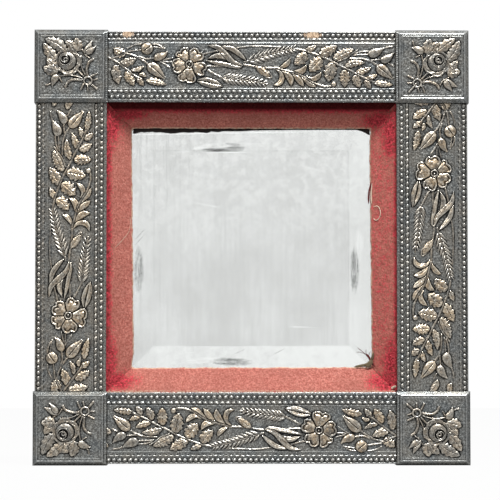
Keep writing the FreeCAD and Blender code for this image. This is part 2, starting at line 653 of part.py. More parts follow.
class Die:
    """Drawing plane of a stamped ornament: turns pixels into places on a sheet's face."""

    def __init__(self, origin, pixel, centre, ground, sink):
        self.origin = origin
        self.pixel = pixel
        self.centre = centre
        self.ground = ground
        self.sink = sink

    def flat(self, spot):
        """Place in the plane of the sheet."""
        across = self.centre[0] + (spot[0] - self.origin[0]) * self.pixel
        high = self.centre[1] + (self.origin[1] - spot[1]) * self.pixel
        return FreeCAD.Vector(across, 0, high)

    def at(self, spot, rise):
        """Place in front of the sheet's ground, or inside the sheet where the rise is negative."""
        return FreeCAD.Vector(spot.x, -(self.ground + rise), spot.z)

    def leaf(self, base, tip, wide, rise):
        """Pointed leaf with a ridge, its foot sunk into the sheet."""
        first = self.flat(base)
        last = self.flat(tip)
        along = last - first
        side = FreeCAD.Vector(-along.z, 0, along.x).normalize() * (wide * self.pixel / 2)
        low, high = [first + along * share for share in LEAF_SHARES]
        ring = (first, low - side, high - side, last, high + side, low + side)
        points = [self.at(spot, -self.sink) for spot in ring]
        points += [self.at(spot, rise) for spot in (low, high)]
        faces = ((0, 1, 2, 3, 4, 5), (0, 1, 6), (1, 2, 7, 6), (2, 3, 7), (3, 4, 7), (4, 5, 6, 7), (5, 0, 6))
        return polyhedron(points, faces)

    def dome(self, middle, long, wide, turn, rise):
        """Rounded boss with a flat top, its foot sunk into the sheet."""
        centre = self.flat(middle)
        swing = math.radians(turn)
        along = FreeCAD.Vector(math.cos(swing), 0, math.sin(swing)) * (long * self.pixel)
        side = FreeCAD.Vector(-math.sin(swing), 0, math.cos(swing)) * (wide * self.pixel)
        ring = []
        for index in range(DOME_SIDES):
            angle = 2 * math.pi * index / DOME_SIDES
            ring.append(along * math.cos(angle) + side * math.sin(angle))
        points = [self.at(centre + arm, -self.sink) for arm in ring]
        points += [self.at(centre + arm * DOME_SHARE, rise) for arm in ring]
        faces = [tuple(range(DOME_SIDES)), tuple(range(DOME_SIDES, 2 * DOME_SIDES))]
        for index in range(DOME_SIDES):
            after = (index + 1) % DOME_SIDES
            faces.append((index, after, after + DOME_SIDES, index + DOME_SIDES))
        return polyhedron(points, faces)

    def ridge(self, start, end, wide, rise):
        """Straight run of a stalk, its foot sunk into the sheet."""
        first, last = self.flat(start), self.flat(end)
        along = last - first
        side = FreeCAD.Vector(-along.z, 0, along.x).normalize() * (wide * self.pixel / 2)
        ring = (first - side, last - side, last + side, first + side)
        points = [self.at(spot, -self.sink) for spot in ring]
        points += [self.at(spot, rise) for spot in (first, last)]
        return polyhedron(points, ((0, 1, 2, 3), (0, 1, 5, 4), (1, 2, 5), (2, 3, 4, 5), (3, 0, 4)))

    def grain(self, base, tip, wide, rise):
        """Four-sided pointed grain, its foot sunk into the sheet."""
        first, last = self.flat(base), self.flat(tip)
        along = last - first
        side = FreeCAD.Vector(-along.z, 0, along.x).normalize() * (wide * self.pixel / 2)
        middle = first + along / 2
        points = [self.at(spot, -self.sink) for spot in (first, middle - side, last, middle + side)]
        points.append(self.at(middle, rise))
        return polyhedron(points, ((0, 1, 2, 3), (0, 1, 4), (1, 2, 4), (2, 3, 4), (3, 0, 4)))

    def stem(self, spots, rise):
        """Ridged stalk through a row of spots."""
        return [self.ridge(start, end, STEM_WIDE_PIXELS, rise) for start, end in zip(spots, spots[1:])]

    def wheat(self, foot, tip, rise):
        """Ear of pointed grains in pairs along a stalk."""
        long, wide = GRAIN_PIXELS
        run = (tip[0] - foot[0], tip[1] - foot[1])
        pairs = round(math.hypot(*run) / GRAIN_PITCH_PIXELS)
        grains = []
        for index in range(pairs):
            share = index / pairs
            spot = (foot[0] + run[0] * share, foot[1] + run[1] * share)
            for sign in (-1, 1):
                swing = math.atan2(run[1], run[0]) + sign * math.radians(GRAIN_TURN)
                end = (spot[0] + long * math.cos(swing), spot[1] + long * math.sin(swing))
                grains.append(self.grain(spot, end, wide, rise))
        return grains


def face_spots(places):
    """Front of a rail's sheet from its inner to its outer edge, as places in its section."""
    wide = places.face_out - places.rail_in
    spots = []
    for middle, half, rise in reversed(RIDGE_SHARES):
        high = places.face_out - middle * wide
        for share, up in ((-1, 0), (-RIDGE_TOP_SHARE, rise), (RIDGE_TOP_SHARE, rise), (1, 0)):
            spots.append((places.ground + up * wide, high + share * half * wide))
    return spots


def strip_section(sizes, places):
    """Section of a rail's sheet: moulded face, outer skirt folded on the back, inner skirt."""
    fold = places.face_out - sizes.fold_wide
    ring = [(places.ground, places.face_out), (places.fold_back, places.face_out), (places.fold_back, fold),
            (places.back, fold), (places.back, places.rail_out), (places.front, places.rail_out),
            (places.front, places.core_in), (places.lip_back, places.core_in), (places.lip_back, places.rail_in),
            (places.ground, places.rail_in)]
    ring += face_spots(places)
    spots = [FreeCAD.Vector(0, -deep, high) for deep, high in ring]
    return Part.Face(Part.makePolygon(spots + spots[:1]))


def rail_ornament(sizes, places, flower):
    """Flower, lily, buds, wheat, acanthus and leafy branch of a rail, for one place of the flower."""
    wide = places.face_out - places.rail_in
    middle = (-flower, places.face_out - FIELD_SHARE * wide)
    die = Die(DIE_ORIGIN_PIXELS, wide / FACE_PIXELS, middle, places.ground, sizes.sheet_thick / 2)
    lumps = [die.leaf(row[:2], row[2:4], row[4], sizes.leaf_rise) for row in LEAF_PIXELS]
    lumps += [die.leaf(row[:2], row[2:4], row[4], sizes.petal_rise) for row in PETAL_PIXELS]
    lumps += [die.dome(row[:2], *row[2:], sizes.petal_rise) for row in DOME_PIXELS]
    lumps.append(die.dome(BOSS_PIXELS[:2], *BOSS_PIXELS[2:], sizes.leaf_rise))
    for spots in STEM_PIXELS:
        lumps += die.stem(spots, sizes.stem_rise)
    for foot, tip in WHEAT_PIXELS:
        lumps += die.stem((foot, tip), sizes.stem_rise)
        lumps += die.wheat(foot, tip, sizes.grain_rise)
    return lumps


def pin_hole(across, high, sizes, places):
    """Square hole for a pin through a fold on the back."""
    half = places.pin_hole
    return deep_box(across - half, across + half, high - half, high + half,
                    places.fold_back - sizes.overrun, places.back + sizes.overrun)


def rail_sheet(doc, sizes, places, side, angle):
    """Stamped sheet over one rail: the strip's length is cut where it meets the corner caps."""
    flower = getattr(sizes, f"flower_{side}")
    half = places.cap_in - sizes.pin_gap * 2
    face = strip_section(sizes, places)
    face.translate(FreeCAD.Vector(-half, 0, 0))
    strip = face.extrude(FreeCAD.Vector(2 * half, 0, 0))
    room = deep_box(-half, half, places.rail_in, places.face_out, places.front, places.ground + sizes.overrun)
    lumps = []
    for lump in rail_ornament(sizes, places, flower):
        inside = lump.BoundBox.XMin > -half and lump.BoundBox.XMax < half
        clipped = lump if inside else lump.common(room)
        if clipped.Volume > 0:
            lumps.append(clipped)
    strip = strip.fuse(lumps)
    reach = places.pin_reach
    holes = [pin_hole(spot, places.rail_pin_line, sizes, places) for spot in (-reach, reach)]
    strip = strip.cut(holes)
    item = feature(doc, f"rail_sheet_{side}", strip.Solids[0])
    item.Placement = turned(angle)
    return item


def bevelled_block(low, high, near, far, bevel):
    """Square block with its four front edges bevelled."""
    block = deep_box(low, high, low, high, near, far)
    edges = [edge for edge in block.Edges if max(spot.Point.y for spot in edge.Vertexes) < bevel - far]
    return block.makeChamfer(bevel, edges)


def square_fillet(low, high, wide, near, far):
    """Raised square border of flat section."""
    outer = deep_box(low, high, low, high, near, far)
    inner = deep_box(low + wide, high - wide, low + wide, high - wide, near - wide, far + wide)
    return outer.cut(inner)


def corner_ornament(sizes, places):
    """Rose, leaves, buds and tied stems of a corner, for the top right corner."""
    middle = (places.cap_in + places.cap_out) / 2
    pixel = (places.face_out - places.rail_in) / FACE_PIXELS
    die = Die(CORNER_ORIGIN_PIXELS, pixel, (middle, middle), places.cap_ground, sizes.sheet_thick / 2)
    lumps = [die.leaf(row[:2], row[2:4], row[4], sizes.leaf_rise) for row in CORNER_LEAF_PIXELS]
    for spots in CORNER_STEM_PIXELS:
        lumps += die.stem(spots, sizes.stem_rise)
    reach, long, wide = [share * ROSE_PIXELS for share in ROSE_SHARES]
    for index in range(ROSE_PETALS):
        turn = 360 * index / ROSE_PETALS
        swing = math.radians(turn)
        across = CORNER_ROSE_PIXELS[0] + reach * math.cos(swing)
        down = CORNER_ROSE_PIXELS[1] - reach * math.sin(swing)
        lumps.append(die.dome((across, down), wide, long, turn, sizes.leaf_rise))
    bud = ROSE_BUD_SHARE * ROSE_PIXELS
    lumps.append(die.dome(CORNER_ROSE_PIXELS, bud, bud, 0, sizes.petal_rise))
    lumps.append(die.dome(CORNER_TIE_PIXELS[:2], *CORNER_TIE_PIXELS[2:], sizes.leaf_rise))
    swing = FreeCAD.Placement(FreeCAD.Vector(), FreeCAD.Rotation(WALL_AXIS, RIGHT_ANGLE),
                              FreeCAD.Vector(middle, 0, middle))
    for lump in lumps:
        lump.Placement = swing * lump.Placement
    return lumps


def cap_shell(sizes, places):
    """Square cap of sheet metal over a corner block, for the top right corner."""
    low, high = places.cap_in, places.cap_out
    shell = bevelled_block(low, high, places.fold_back, places.cap_ground, sizes.bevel)
    core = bevelled_block(places.block_in, places.block_out, places.back, places.block_front, sizes.bevel)
    skirt = places.front + sizes.fit_gap
    under = places.fold_back - sizes.overrun
    fold = high - sizes.fold_wide
    far = high + sizes.overrun
    near = low - sizes.overrun
    cutters = [
        core,
        deep_box(near, places.block_in, near, far, under, skirt),
        deep_box(near, far, near, places.block_in, under, skirt),
        deep_box(near, fold, near, fold, under, places.back + sizes.fit_gap),
    ]
    return shell.cut(cutters)


def corner_cap(doc, corner, angle, shape):
    """One of the four equal caps, turned to its corner."""
    item = feature(doc, f"corner_cap_{corner}", shape)
    item.Placement = turned(angle)
    return item


def cap_shape(sizes, places):
    """Cap with its raised borders, ornament and pin holes."""
    inner = sizes.sheet_thick / 2
    near = places.cap_ground - inner
    lumps = corner_ornament(sizes, places)
    for index in range(2):
        inset = sizes.border_inset + index * sizes.border_pitch
        lumps.append(square_fillet(places.cap_in + inset, places.cap_out - inset, sizes.border_wide, near,
                                   places.cap_ground + sizes.border_rise))
    cap = cap_shell(sizes, places).fuse(lumps)
    spots = ((places.block_middle, places.cap_pin_line), (places.cap_pin_line, places.block_middle))
    cap = cap.cut([pin_hole(across, high, sizes, places) for across, high in spots])
    return cap.Solids[0]


def hanger_plate(doc):
    """Plate with a bridge raised out of it, under which the ring's bar turns."""
    body = new_body(doc, "hanger_plate")
    low = "places.hanger_high - sizes.plate_wide / 2"
    high = "places.hanger_high + sizes.plate_wide / 2"
    left = "-sizes.plate_long / 2"
    right = "sizes.plate_long / 2"
    faces = ((left, low), (right, low), (right, high), (left, high))
    pad(body, outline(body, "XZ_Plane", "plate", faces, "places.plate_front"), "sizes.plate_thick")
    legs = bridge_corners()
    pad(body, outline(body, "YZ_Plane", "bridge", legs), "sizes.bridge_wide", True)
    doc.recompute()
    screws = [(f"{sign}places.screw_reach", "places.hanger_high") for sign in "+-"]
    holes = circles(body, "XZ_Plane", "screw_holes", screws, "places.screw_hole")
    pocket(body, holes, "places.back + sizes.overrun", True)
    return body


def bridge_corners():
    """Section of the bridge: two legs on the plate and a flattened arch over the ring's bar."""
    arch = []
    for radius, signs in (("places.bridge_outer", (-1, 1)), ("places.bridge_inner", (1, -1))):
        first, second = signs
        arch.append(("-places.plate_front", f"places.hanger_high + {first} * {radius}"))
        arch.append((f"-(places.ring_deep - {radius} * {BEND_SHARE})", f"places.hanger_high + {first} * {radius}"))
        arch.append((f"-(places.ring_deep - {radius})", f"places.hanger_high + {first} * {radius} * {BEND_SHARE}"))
        arch.append((f"-(places.ring_deep - {radius})", f"places.hanger_high + {second} * {radius} * {BEND_SHARE}"))
        arch.append((f"-(places.ring_deep - {radius} * {BEND_SHARE})", f"places.hanger_high + {second} * {radius}"))
        arch.append(("-places.plate_front", f"places.hanger_high + {second} * {radius}"))
    return arch


def arc_spots(middle, radius, first, last, steps):
    """Places along an arc seen from the front, from one angle to another in degrees."""
    spots = []
    for index in range(steps + 1):
        across, high = compass(math.radians(first + (last - first) * index / steps))
        spots.append(middle + FreeCAD.Vector(across, 0, high) * radius)
    return spots


def ring_loop(sizes, places):
    """Bent part of the ring's wire, from one end of its straight bar round to the other."""
    half, bend = sizes.ring_half, sizes.ring_corner
    high = places.hanger_high - bend
    reach = half - bend
    deep = -places.ring_deep
    spots = arc_spots(FreeCAD.Vector(reach, deep, high), bend, RIGHT_ANGLE, 0, BEND_STEPS)
    spots += arc_spots(FreeCAD.Vector(0, deep, high - sizes.ring_side), half, 0, -2 * RIGHT_ANGLE, LOOP_STEPS)
    spots += arc_spots(FreeCAD.Vector(-reach, deep, high), bend, 2 * RIGHT_ANGLE, RIGHT_ANGLE, BEND_STEPS)
    runs = [(after - here).normalize() for here, after in zip(spots, spots[1:])]
    points = []
    for index, here in enumerate(spots):
        run = runs[min(index, len(runs) - 1)]
        arm = (runs[index - 1] + run).cross(WALL_AXIS) if 0 < index < len(runs) else UP
        arm = arm / arm.dot(run.cross(WALL_AXIS))
        for flat in range(WIRE_SIDES):
            out, back = compass(2 * math.pi * (flat + 0.5) / WIRE_SIDES)
            points.append(here + (arm * out + WALL_AXIS * back) * sizes.ring_wire)
    faces = [tuple(range(WIRE_SIDES)), tuple(range(len(points) - WIRE_SIDES, len(points)))]
    for start in range(0, len(points) - WIRE_SIDES, WIRE_SIDES):
        for flat in range(WIRE_SIDES):
            after = (flat + 1) % WIRE_SIDES
            faces.append((start + flat, start + after, start + WIRE_SIDES + after, start + WIRE_SIDES + flat))
    return polyhedron(points, faces)


def hanging_ring(doc, sizes, places):
    """Ring of wire: a round bar that swings under the plate's bridge, and the loop bent from it."""
    reach = sizes.ring_half - sizes.ring_corner
    start = FreeCAD.Vector(-reach, -places.ring_deep, places.hanger_high)
    bar = Part.makeCylinder(sizes.ring_wire, 2 * reach, start, ACROSS)
    return feature(doc, "hanging_ring", bar.fuse(ring_loop(sizes, places)))


def fasteners(doc, sizes, places):
    """Nails of the backboard, pins of the folded sheets and screws of the hanger."""
    nail = square_fastener(doc, "nail", "sizes.nail_head_thick",
                           ("sizes.nail_wide", "(sizes.nail_long - sizes.nail_head_thick)"),
                           ("sizes.nail_head_wide", "sizes.nail_head_thick"))
    pin = square_fastener(doc, "pin", "places.fold_back", ("sizes.pin_wide", "sizes.pin_long"),
                          ("sizes.pin_head_wide", "sizes.pin_head_high"))
    chamfer(pin, "sizes.pin_head_high / 2", True)
    screw = spun(doc, "screw", domed("sizes.screw_radius", "sizes.screw_head_radius", "sizes.screw_head_high",
                                     "sizes.screw_long", "places.plate_front"))
    head_back = places.plate_front - sizes.screw_head_high
    slot = deep_box(-sizes.screw_head_radius, sizes.screw_head_radius, -sizes.screw_slot_wide / 2,
                    sizes.screw_slot_wide / 2, head_back - sizes.overrun, head_back + sizes.screw_slot_deep)
    slotted = screw.Shape.cut(slot)
    reach = places.nail_reach
    nails = copies(nail.Shape, spots_round((-reach, 0, reach), places.nail_line))
    reach = places.pin_reach
    rail_pins = copies(pin.Shape, spots_round((-reach, reach), places.rail_pin_line))
    middle, line = places.block_middle, places.cap_pin_line
    corners = []
    for _, angle in CORNERS:
        for across, high in ((middle, line), (line, middle)):
            spot = turned(angle).multVec(FreeCAD.Vector(across, 0, high))
            corners.append((spot.x, spot.z))
    reach = places.screw_reach
    screws = copies(slotted, ((-reach, places.hanger_high), (reach, places.hanger_high)))
    return [
        feature(doc, "backboard_nails", Part.Compound(nails)),
        feature(doc, "sheet_pins", Part.Compound(rail_pins)),
        feature(doc, "cap_pins", Part.Compound(copies(pin.Shape, corners))),
        feature(doc, "hanger_screws", Part.Compound(screws)),
    ]


def build(doc):
    """Every piece of the mirror, as document objects."""
    sizes = make_sheet(doc)
    places = make_places(doc)
    pieces = []
    for side, angle in SIDES:
        pieces.append(rail_core(doc, side, angle))
        pieces.append(rail_sheet(doc, sizes, places, side, angle))
        pieces.append(liner_slip(doc, side, angle))
        pieces.append(liner_velvet(doc, side, angle))
    cap = cap_shape(sizes, places)
    for corner, angle in CORNERS:
        pieces.append(corner_block(doc, corner, angle))
        pieces.append(corner_cap(doc, corner, angle, cap))
    pieces.append(mirror_glass(doc))
    pieces.append(flat_square(doc, "mirror_silvering", "places.silver_back", "sizes.silver_thick"))
    pieces.append(flat_square(doc, "packing_paper", "places.back", "sizes.paper_thick"))
    pieces.append(backboard(doc))
    pieces.append(frame_tenons(doc, sizes, places))
    pieces.append(hanger_plate(doc))
    pieces.append(hanging_ring(doc, sizes, places))
    pieces += fasteners(doc, sizes, places)
    return pieces


def check(doc, pieces):
    """Stop when an object failed or a piece has no sound shape."""
    doc.recompute()
    for item in doc.Objects:
        if "Invalid" in item.State or "Error" in item.State:
            raise ValueError(f"{item.Label} failed: {item.State}")
    for piece in pieces:
        if piece.Shape.isNull() or not piece.Shape.isValid():
            raise ValueError(f"{piece.Label} has no sound shape")
        if any(solid.Volume <= 0 for solid in piece.Shape.Solids) or not piece.Shape.Solids:
            raise ValueError(f"{piece.Label} holds no solid")


def main():
    doc = FreeCAD.newDocument("tin_mirror")
    pieces = build(doc)
    check(doc, pieces)
    os.makedirs("parts", exist_ok=True)
    for piece in pieces:
        piece.Shape.exportStep(f"parts/{piece.Label}.step")
        box = piece.Shape.BoundBox
        print(f"{piece.Label}: {len(piece.Shape.Solids)} solids, {piece.Shape.Volume:.1f} mm3, "
              f"{box.XLength:.1f} x {box.YLength:.1f} x {box.ZLength:.1f}")


main()
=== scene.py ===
"""Old wall mirror: stamped metal over wood, worn velvet slips and a bevelled glass.

X is to the right, Z up and the front looks along -Y; the origin is on the wall behind the mirror's
centre. Lengths are in metres; names ending in PX are pixels of the photograph.
"""

import math
from functools import partialmethod

import bpy
import numpy as np
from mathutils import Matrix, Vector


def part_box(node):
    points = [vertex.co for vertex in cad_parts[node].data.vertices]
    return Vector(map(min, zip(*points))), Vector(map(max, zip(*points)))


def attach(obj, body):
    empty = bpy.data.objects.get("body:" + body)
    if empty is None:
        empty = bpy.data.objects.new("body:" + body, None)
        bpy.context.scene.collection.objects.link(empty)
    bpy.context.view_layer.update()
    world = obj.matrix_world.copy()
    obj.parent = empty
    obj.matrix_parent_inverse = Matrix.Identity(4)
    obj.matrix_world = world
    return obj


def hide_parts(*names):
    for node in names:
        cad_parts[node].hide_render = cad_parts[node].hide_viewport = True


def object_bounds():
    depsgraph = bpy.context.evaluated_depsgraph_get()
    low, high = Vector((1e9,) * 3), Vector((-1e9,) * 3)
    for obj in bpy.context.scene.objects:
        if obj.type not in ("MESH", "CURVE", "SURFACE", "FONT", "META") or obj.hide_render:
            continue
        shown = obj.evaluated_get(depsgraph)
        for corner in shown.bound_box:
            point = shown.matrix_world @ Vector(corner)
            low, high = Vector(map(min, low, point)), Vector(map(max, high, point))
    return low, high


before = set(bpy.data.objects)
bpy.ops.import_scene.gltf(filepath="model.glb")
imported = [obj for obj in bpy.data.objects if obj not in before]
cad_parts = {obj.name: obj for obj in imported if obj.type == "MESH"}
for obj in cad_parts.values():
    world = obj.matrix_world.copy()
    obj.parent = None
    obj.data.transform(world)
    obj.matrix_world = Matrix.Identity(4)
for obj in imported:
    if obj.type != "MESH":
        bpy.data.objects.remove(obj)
CAD_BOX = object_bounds()

MM = 0.001

# Places of the CAD model that its boxes don't give.
GROUND = 27.4 * MM              # depth of a rail's stamped ground, from the wall
CAP_GROUND = 32 * MM
BEVEL = 3.2 * MM                # sloping edge of a corner cap
SHEET = 0.4 * MM
CORE_FRONT = 27 * MM
LIP_BACK = 23.4 * MM
WOOD_BACK = 5 * MM
FOLD = 6 * MM
SEAM = 0.3 * MM
VELVET_FRONT = 23.1 * MM
SIGHT_FRONT = 10.6 * MM
LEDGE = 8.45 * MM
CLOTH = 1 * MM
KNEE_SETBACK = 0.6 * MM
OPENING_ROUND = 3.2 * MM         # the sight edge's rounded corners
GLASS_EDGE, GLASS_BEVEL = 2 * MM, 24 * MM
GLASS_GAP = 0.03 * MM            # between glass and silvering, so that the glass stays clear
RING_BAR_DEPTH, RING_WIRE = 2.6 * MM, 1.25 * MM
WIRE_SIDES = 24

CAP_LOW, CAP_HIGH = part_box("corner_cap_top_right")
RAIL_LOW, RAIL_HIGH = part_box("rail_sheet_top")
VELVET_LOW, VELVET_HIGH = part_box("liner_velvet_top")
GLASS_LOW, GLASS_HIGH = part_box("mirror_glass")

SIDES = {"top": 0, "right": 90, "bottom": 180, "left": 270}
CORNERS = {"top_right": 90, "bottom_right": 180, "bottom_left": 270, "top_left": 0}
STATIONS = 600                  # cross sections along a rail
FACE_ROWS = 146                 # points across a rail's face
CAP_GRID = 156                  # points along a cap's side
SLIP_STATIONS = 420


def rows(text):
    """Rows of a table, parted by semicolons: the places of a line, then a bar and the row's own numbers."""
    found = []
    for row in text.split(";"):
        places, _, own = row.partition("|")
        found.append((np.array(places.split(), float).reshape(-1, 2), *map(float, own.split())))
    return found


# The stamped strip, drawn as the top rail shows it.
FACE_PX = 70.9                  # width of a rail's face
FIELD_SHARE = 0.478             # middle of its field, from the outer edge
STRIP_ORIGIN_PX = (189.2, 64.9)  # the flower, and the middle of the field
STRIP_LEFT_PX, STRIP_RIGHT_PX = 98, 414
FIELD_PX = (45.4, 86.2)
FLOWER_PLACE = {"top": -54.7 * MM, "right": -64.3 * MM, "bottom": -58.4 * MM, "left": -60.1 * MM}
GRID_PX = 0.25                  # spacing of the grid that the relief is drawn on
# how bright the crests of each rail are painted, as painted highlight and rubbed metal, in the field and on the
# bead rows, and its added tone
CREST_HIGHLIGHT_AND_WEAR = {"top": (1, 0.7), "right": (1.42, 0.72), "bottom": (1.08, 0.7), "left": (1.5, 0.6)}
SIDE_TONE = {"left": 0.14, "right": 0.05}

LEAF_RISE, PETAL_RISE, BUD_RISE = 1.8 * MM, 2.1 * MM, 2.3 * MM
STEM_RISE, GRAIN_RISE, BEAD_RISE = 0.9 * MM, 1.25 * MM, 1.35 * MM
LEAF_FULLNESS = 1.14
LUMPS, GROUND_GRAIN = 0.07 * MM, 0.08 * MM      # unevenness of every form, and of the punched ground
LOWEST_DENT = -0.3 * MM
DASH_DEPTH = 0.33 * MM          # hollow under a bead that is cut flat

# spine from base to tip, width, teeth
LEAVES_PX = rows("""
125.2 53.8 119 52 113.4 47.6 | 9.4 3; 119.6 63.2 127 62 136 58.4 | 8.6 3; 115.5 64.8 115.8 74 118.6 84.2 | 9.5
3; 125.6 71.5 129 78 134 85.6 | 8.5 4; 130.8 69.9 137 69.4 144 66 | 5 2; 137.5 76.3 140 81 143.6 85.6 | 6 3;
138.5 75.2 142 74.6 146.4 76.6 | 4 2; 146.1 80.2 156 81.6 166 84.6 | 7 5; 306.3 49.9 311 48 317.2 45.2 | 6 3;
319.8 55 328 50.6 337.6 45.2 | 10.5 4; 334 58.6 343 53.8 354.6 48.6 | 10 7; 345.6 65.8 355 62.4 365.8 62 | 7.4
4; 356.8 71.4 363 70.6 372 67.2 | 6.6 3; 367 77.8 371.5 77 378 74.4 | 5.4 3; 305.8 51.8 302 58 294.8 64 | 11 4;
321.8 57.6 317 63 310 71 | 12.5 4; 332.6 62 331 70 329 81.2 | 12.5 4; 344.7 69.3 345.4 77 345.4 86.8 | 10 5;
355.3 74.6 357 80 361 87 | 8 4; 365.5 79.9 367.6 83 371.6 88 | 6.6 3; 374.3 82 384 83.4 394 84.4 | 6.4 5; 399 48
404 50 412 49 | 5 0; 396 62 402 64 410 70 | 6 0""")
# long smooth blades of the lily: spine, width
BLADES_PX = rows("""
208.4 58 217 55.4 226 56.8 232.6 61.8 | 5.6; 206.4 60.4 217 62.6 228.4 64.8 239 66.8 244 64 | 4.2; 219.8 46
231.3 48.2 239 53.2 246 59.6 | 5.2; 208.2 45 217.9 47 225.6 54 233.2 61.6 243 65 | 6; 197 79.6 206 79.2 214 81.4
222.8 85.8 | 4; 197.2 81 205 84 213.6 86 222.8 86.2 | 4.6""")
# curled fronds along the lily's stalk: spine, width
FRONDS_PX = rows("""
275.8 68.6 280.8 72.6 282 78.7 279.7 83 274.2 84.8 | 5.2; 281.6 69.1 286.8 73.4 290.7 78.7 291.6 84.8 | 6.6;
291.1 71.5 295.9 75.8 299.7 80.1 303.8 85.6 | 5.8; 300.7 75.8 306 79.7 310.3 83.5 316.2 86.4 | 4.8; 278.7 67.9
283.5 65.9 287.8 62.7 290.2 58.4 | 5; 288.3 71.3 295 72.3 302.6 70.4 306.6 65.2 | 6.2; 306.4 75.4 311.2 78.5 317
77.4 321.8 72.6 | 5.2""")
# spine, width, whether a slit runs down it, tone
BUDS_PX = rows("""
153.6 58.8 158.6 56.6 163.6 54.6 167.6 50.8 | 8.2 0 0.8; 147.6 63.4 156 70.4 165.4 78.8 | 11.6 1 0.6; 368.8 52.4
374 52.6 379.6 50.4 385 47.2 | 9.4 0 0.4; 381 58.8 386 58.8 390.6 56.2 395 51.6 | 8.4 0 0.4; 377.6 64.8 385 70.8
394.4 78.6 | 11 1 0.75""")
ROUND_BUD_PX = (146.8, 48.1, 6)
BALL_PX = (334.2, 83.8, 2.6)
# route, width
STEMS_PX = rows("""
108.6 57.8 115.5 61 126 68.7 133.7 74.9 139 78 | 1.9; 110.7 58.8 117.4 56.2 124.1 53.1 131 54.3 138.5 57.5 144.2
61 148.1 64.8 | 1.8; 127 47.8 134 44.6 140.6 43.6 | 1.4; 126.5 51.4 133 50.4 141 49.4 | 1.5; 152.4 43.8 158 44.4
164.6 48.2 | 1.3; 152.6 46.4 158.6 47.2 163.2 47.8 | 1.2; 139 56.4 146 58.6 154 57.6 | 1.8; 160.4 60.2 166 59
172.4 57.4 | 1.3; 161 60.8 167 61.6 172 61.4 | 1.2; 159.6 61 164.6 64 169.6 67.6 | 1.2; 203.4 53.6 211 51.8 219
49.8 | 1.7; 207 65.8 217 65.8 229 65.2 | 1.5; 206.4 69.2 214 73.4 222.7 77.8 | 1.7; 233.6 48.2 242 46.4 256 45.4
281 46.4 | 1.3; 244.4 61.4 250 60 256 57.8 | 1.9; 244.4 64.6 252 65.4 259.7 67 270 67.6 279 67.6 | 2; 278 67.8
287 70.4 297 73 306 77.4 313 82 323 85.6 332 85.6 335 82.8 | 2; 291 47.4 304.4 49.8 314.1 52.8 323.8 56.6 333.5
61 341.3 65.4 351 69.8 358.7 74.1 366.5 78 375 81.6 | 1.9; 338.4 60.6 347 57.4 352 53.4 358 49.6 | 1.5; 350.8
57.6 358 57.9 364.6 58.4 372.3 61 379.1 65.6 | 1.8; 371.6 59.6 377 59.2 383 58.6 | 1.5; 355.6 53 362 51 369.4
50.6 | 1.5; 354.4 54.4 361 54 369.4 53.8 | 1.3; 387.9 61 391 63.6 395 65.6 | 1.2; 256 66 260.6 72 266.6 76.8
271.8 77 270.4 73.6 264 67.6 | 1.4; 383 48.4 388 46.4 393.6 45.6 | 1.6""")
FOLDED_LEAF_PX = (((257, 66.6), (263, 71), (270, 76)), 6)
# stalk from the first grain to the tip, pairs of grains
EARS_PX = rows("""
222.7 77.4 232.2 78.7 243.7 80.1 255 81.6 268 83.8 | 10; 249 60.2 259.6 57.2 269.1 54 278.7 51.4 288.3 49.6 296
47.8 | 11""")
GRAIN_LONG_PX, GRAIN_WIDE_PX = 10.2, 2.9
GRAIN_SWING = math.radians(34)
FLOWER_PX = (189.2, 64.2)
# direction in degrees, length and width of each petal
PETALS_PX = ((122, 18, 15.4), (55, 18, 15.6), (-20, 18.2, 15), (-99, 19, 18.6), (188, 18, 15.4))
FLOWER_EYE_PX = 4.8

# rows of beads: height, pitch, phase, half length and height, slant, rise, whether cut flat below
BEAD_ROWS_PX = (
    (34.6, 5.45, 1.2, 2.3, 1.7, 0, 1.0, False), (39.4, 5.45, 3.6, 2.6, 1.8, 0, 0.4, True),
    (91.4, 5.7, 0.4, 2.7, 1.55, 10, 0.9, False), (96.9, 5.7, 3.0, 2.15, 1.8, 0, 1.0, False),
)
# height, half width, rise of the plain fillets, and how bright their crests are painted, as highlight and
# rubbed metal
FILLETS_PX = ((31.4, 0.8, 0.5 * MM, 0.3), (42.7, 0.7, 0.4 * MM, 0.8), (44.9, 0.4, 0.15 * MM, 0.8),
              (86.9, 0.4, 0.15 * MM, 0.8), (88.6, 0.7, 0.42 * MM, 0.8), (94.2, 0.4, 0.15 * MM, 0.4),
              (100.2, 0.9, 0.35 * MM, 0.15))
# places on the top rail's outer edge where the sheet is torn and its brown backing shows: middle, half sizes
CHIPS_PX = ((127.6, 33, 6, 3.8), (313, 34, 9.6, 3.4))

# marks in the silvering: middle in millimetres, half length and half width, turn, shade, strength
SILVER_MARKS = rows("""
-31 86.4 | 14 1.9 0 0.06 1.2; -42 89.4 | 12 1.9 13 1 0.9; -15.5 87.8 | 11 3.2 2 0.2 0.8; -16 91.6 | 8 1.3 -4 0.1
0.9; -22 89.7 | 7 0.8 3 1 0.9; -60 85.4 | 9 1.4 0 1 0.6; -22 84.5 | 21 0.6 0 1 1.2; -99 -19 | 21 4.8 90 0.22
0.9; -15 92 | 30 1.2 0 1 0.4; 90.6 -19 | 21 4.2 90 0.16 1; 95 4 | 16 4 90 1 0.6; -18 -100 | 20 3.8 -2 0.16 1;
-44 -98.8 | 20 2.8 6 1 0.7; -98.4 11.6 | 7 0.3 47 0.2 1.4; -97.6 7.8 | 7 0.3 47 0.2 1.4; 24 -91 | 6.5 0.28 28
0.3 1.2; -10 -90.8 | 6.5 0.28 25 0.3 1; 44 -69.6 | 14 0.4 -1 1 1.4; -37.7 37.6 | 15 0.45 -11 1 0.7; -30 101.4 |
100 0.9 1 1 1.4; 55 70 | 13 0.5 -14 1 0.5""")
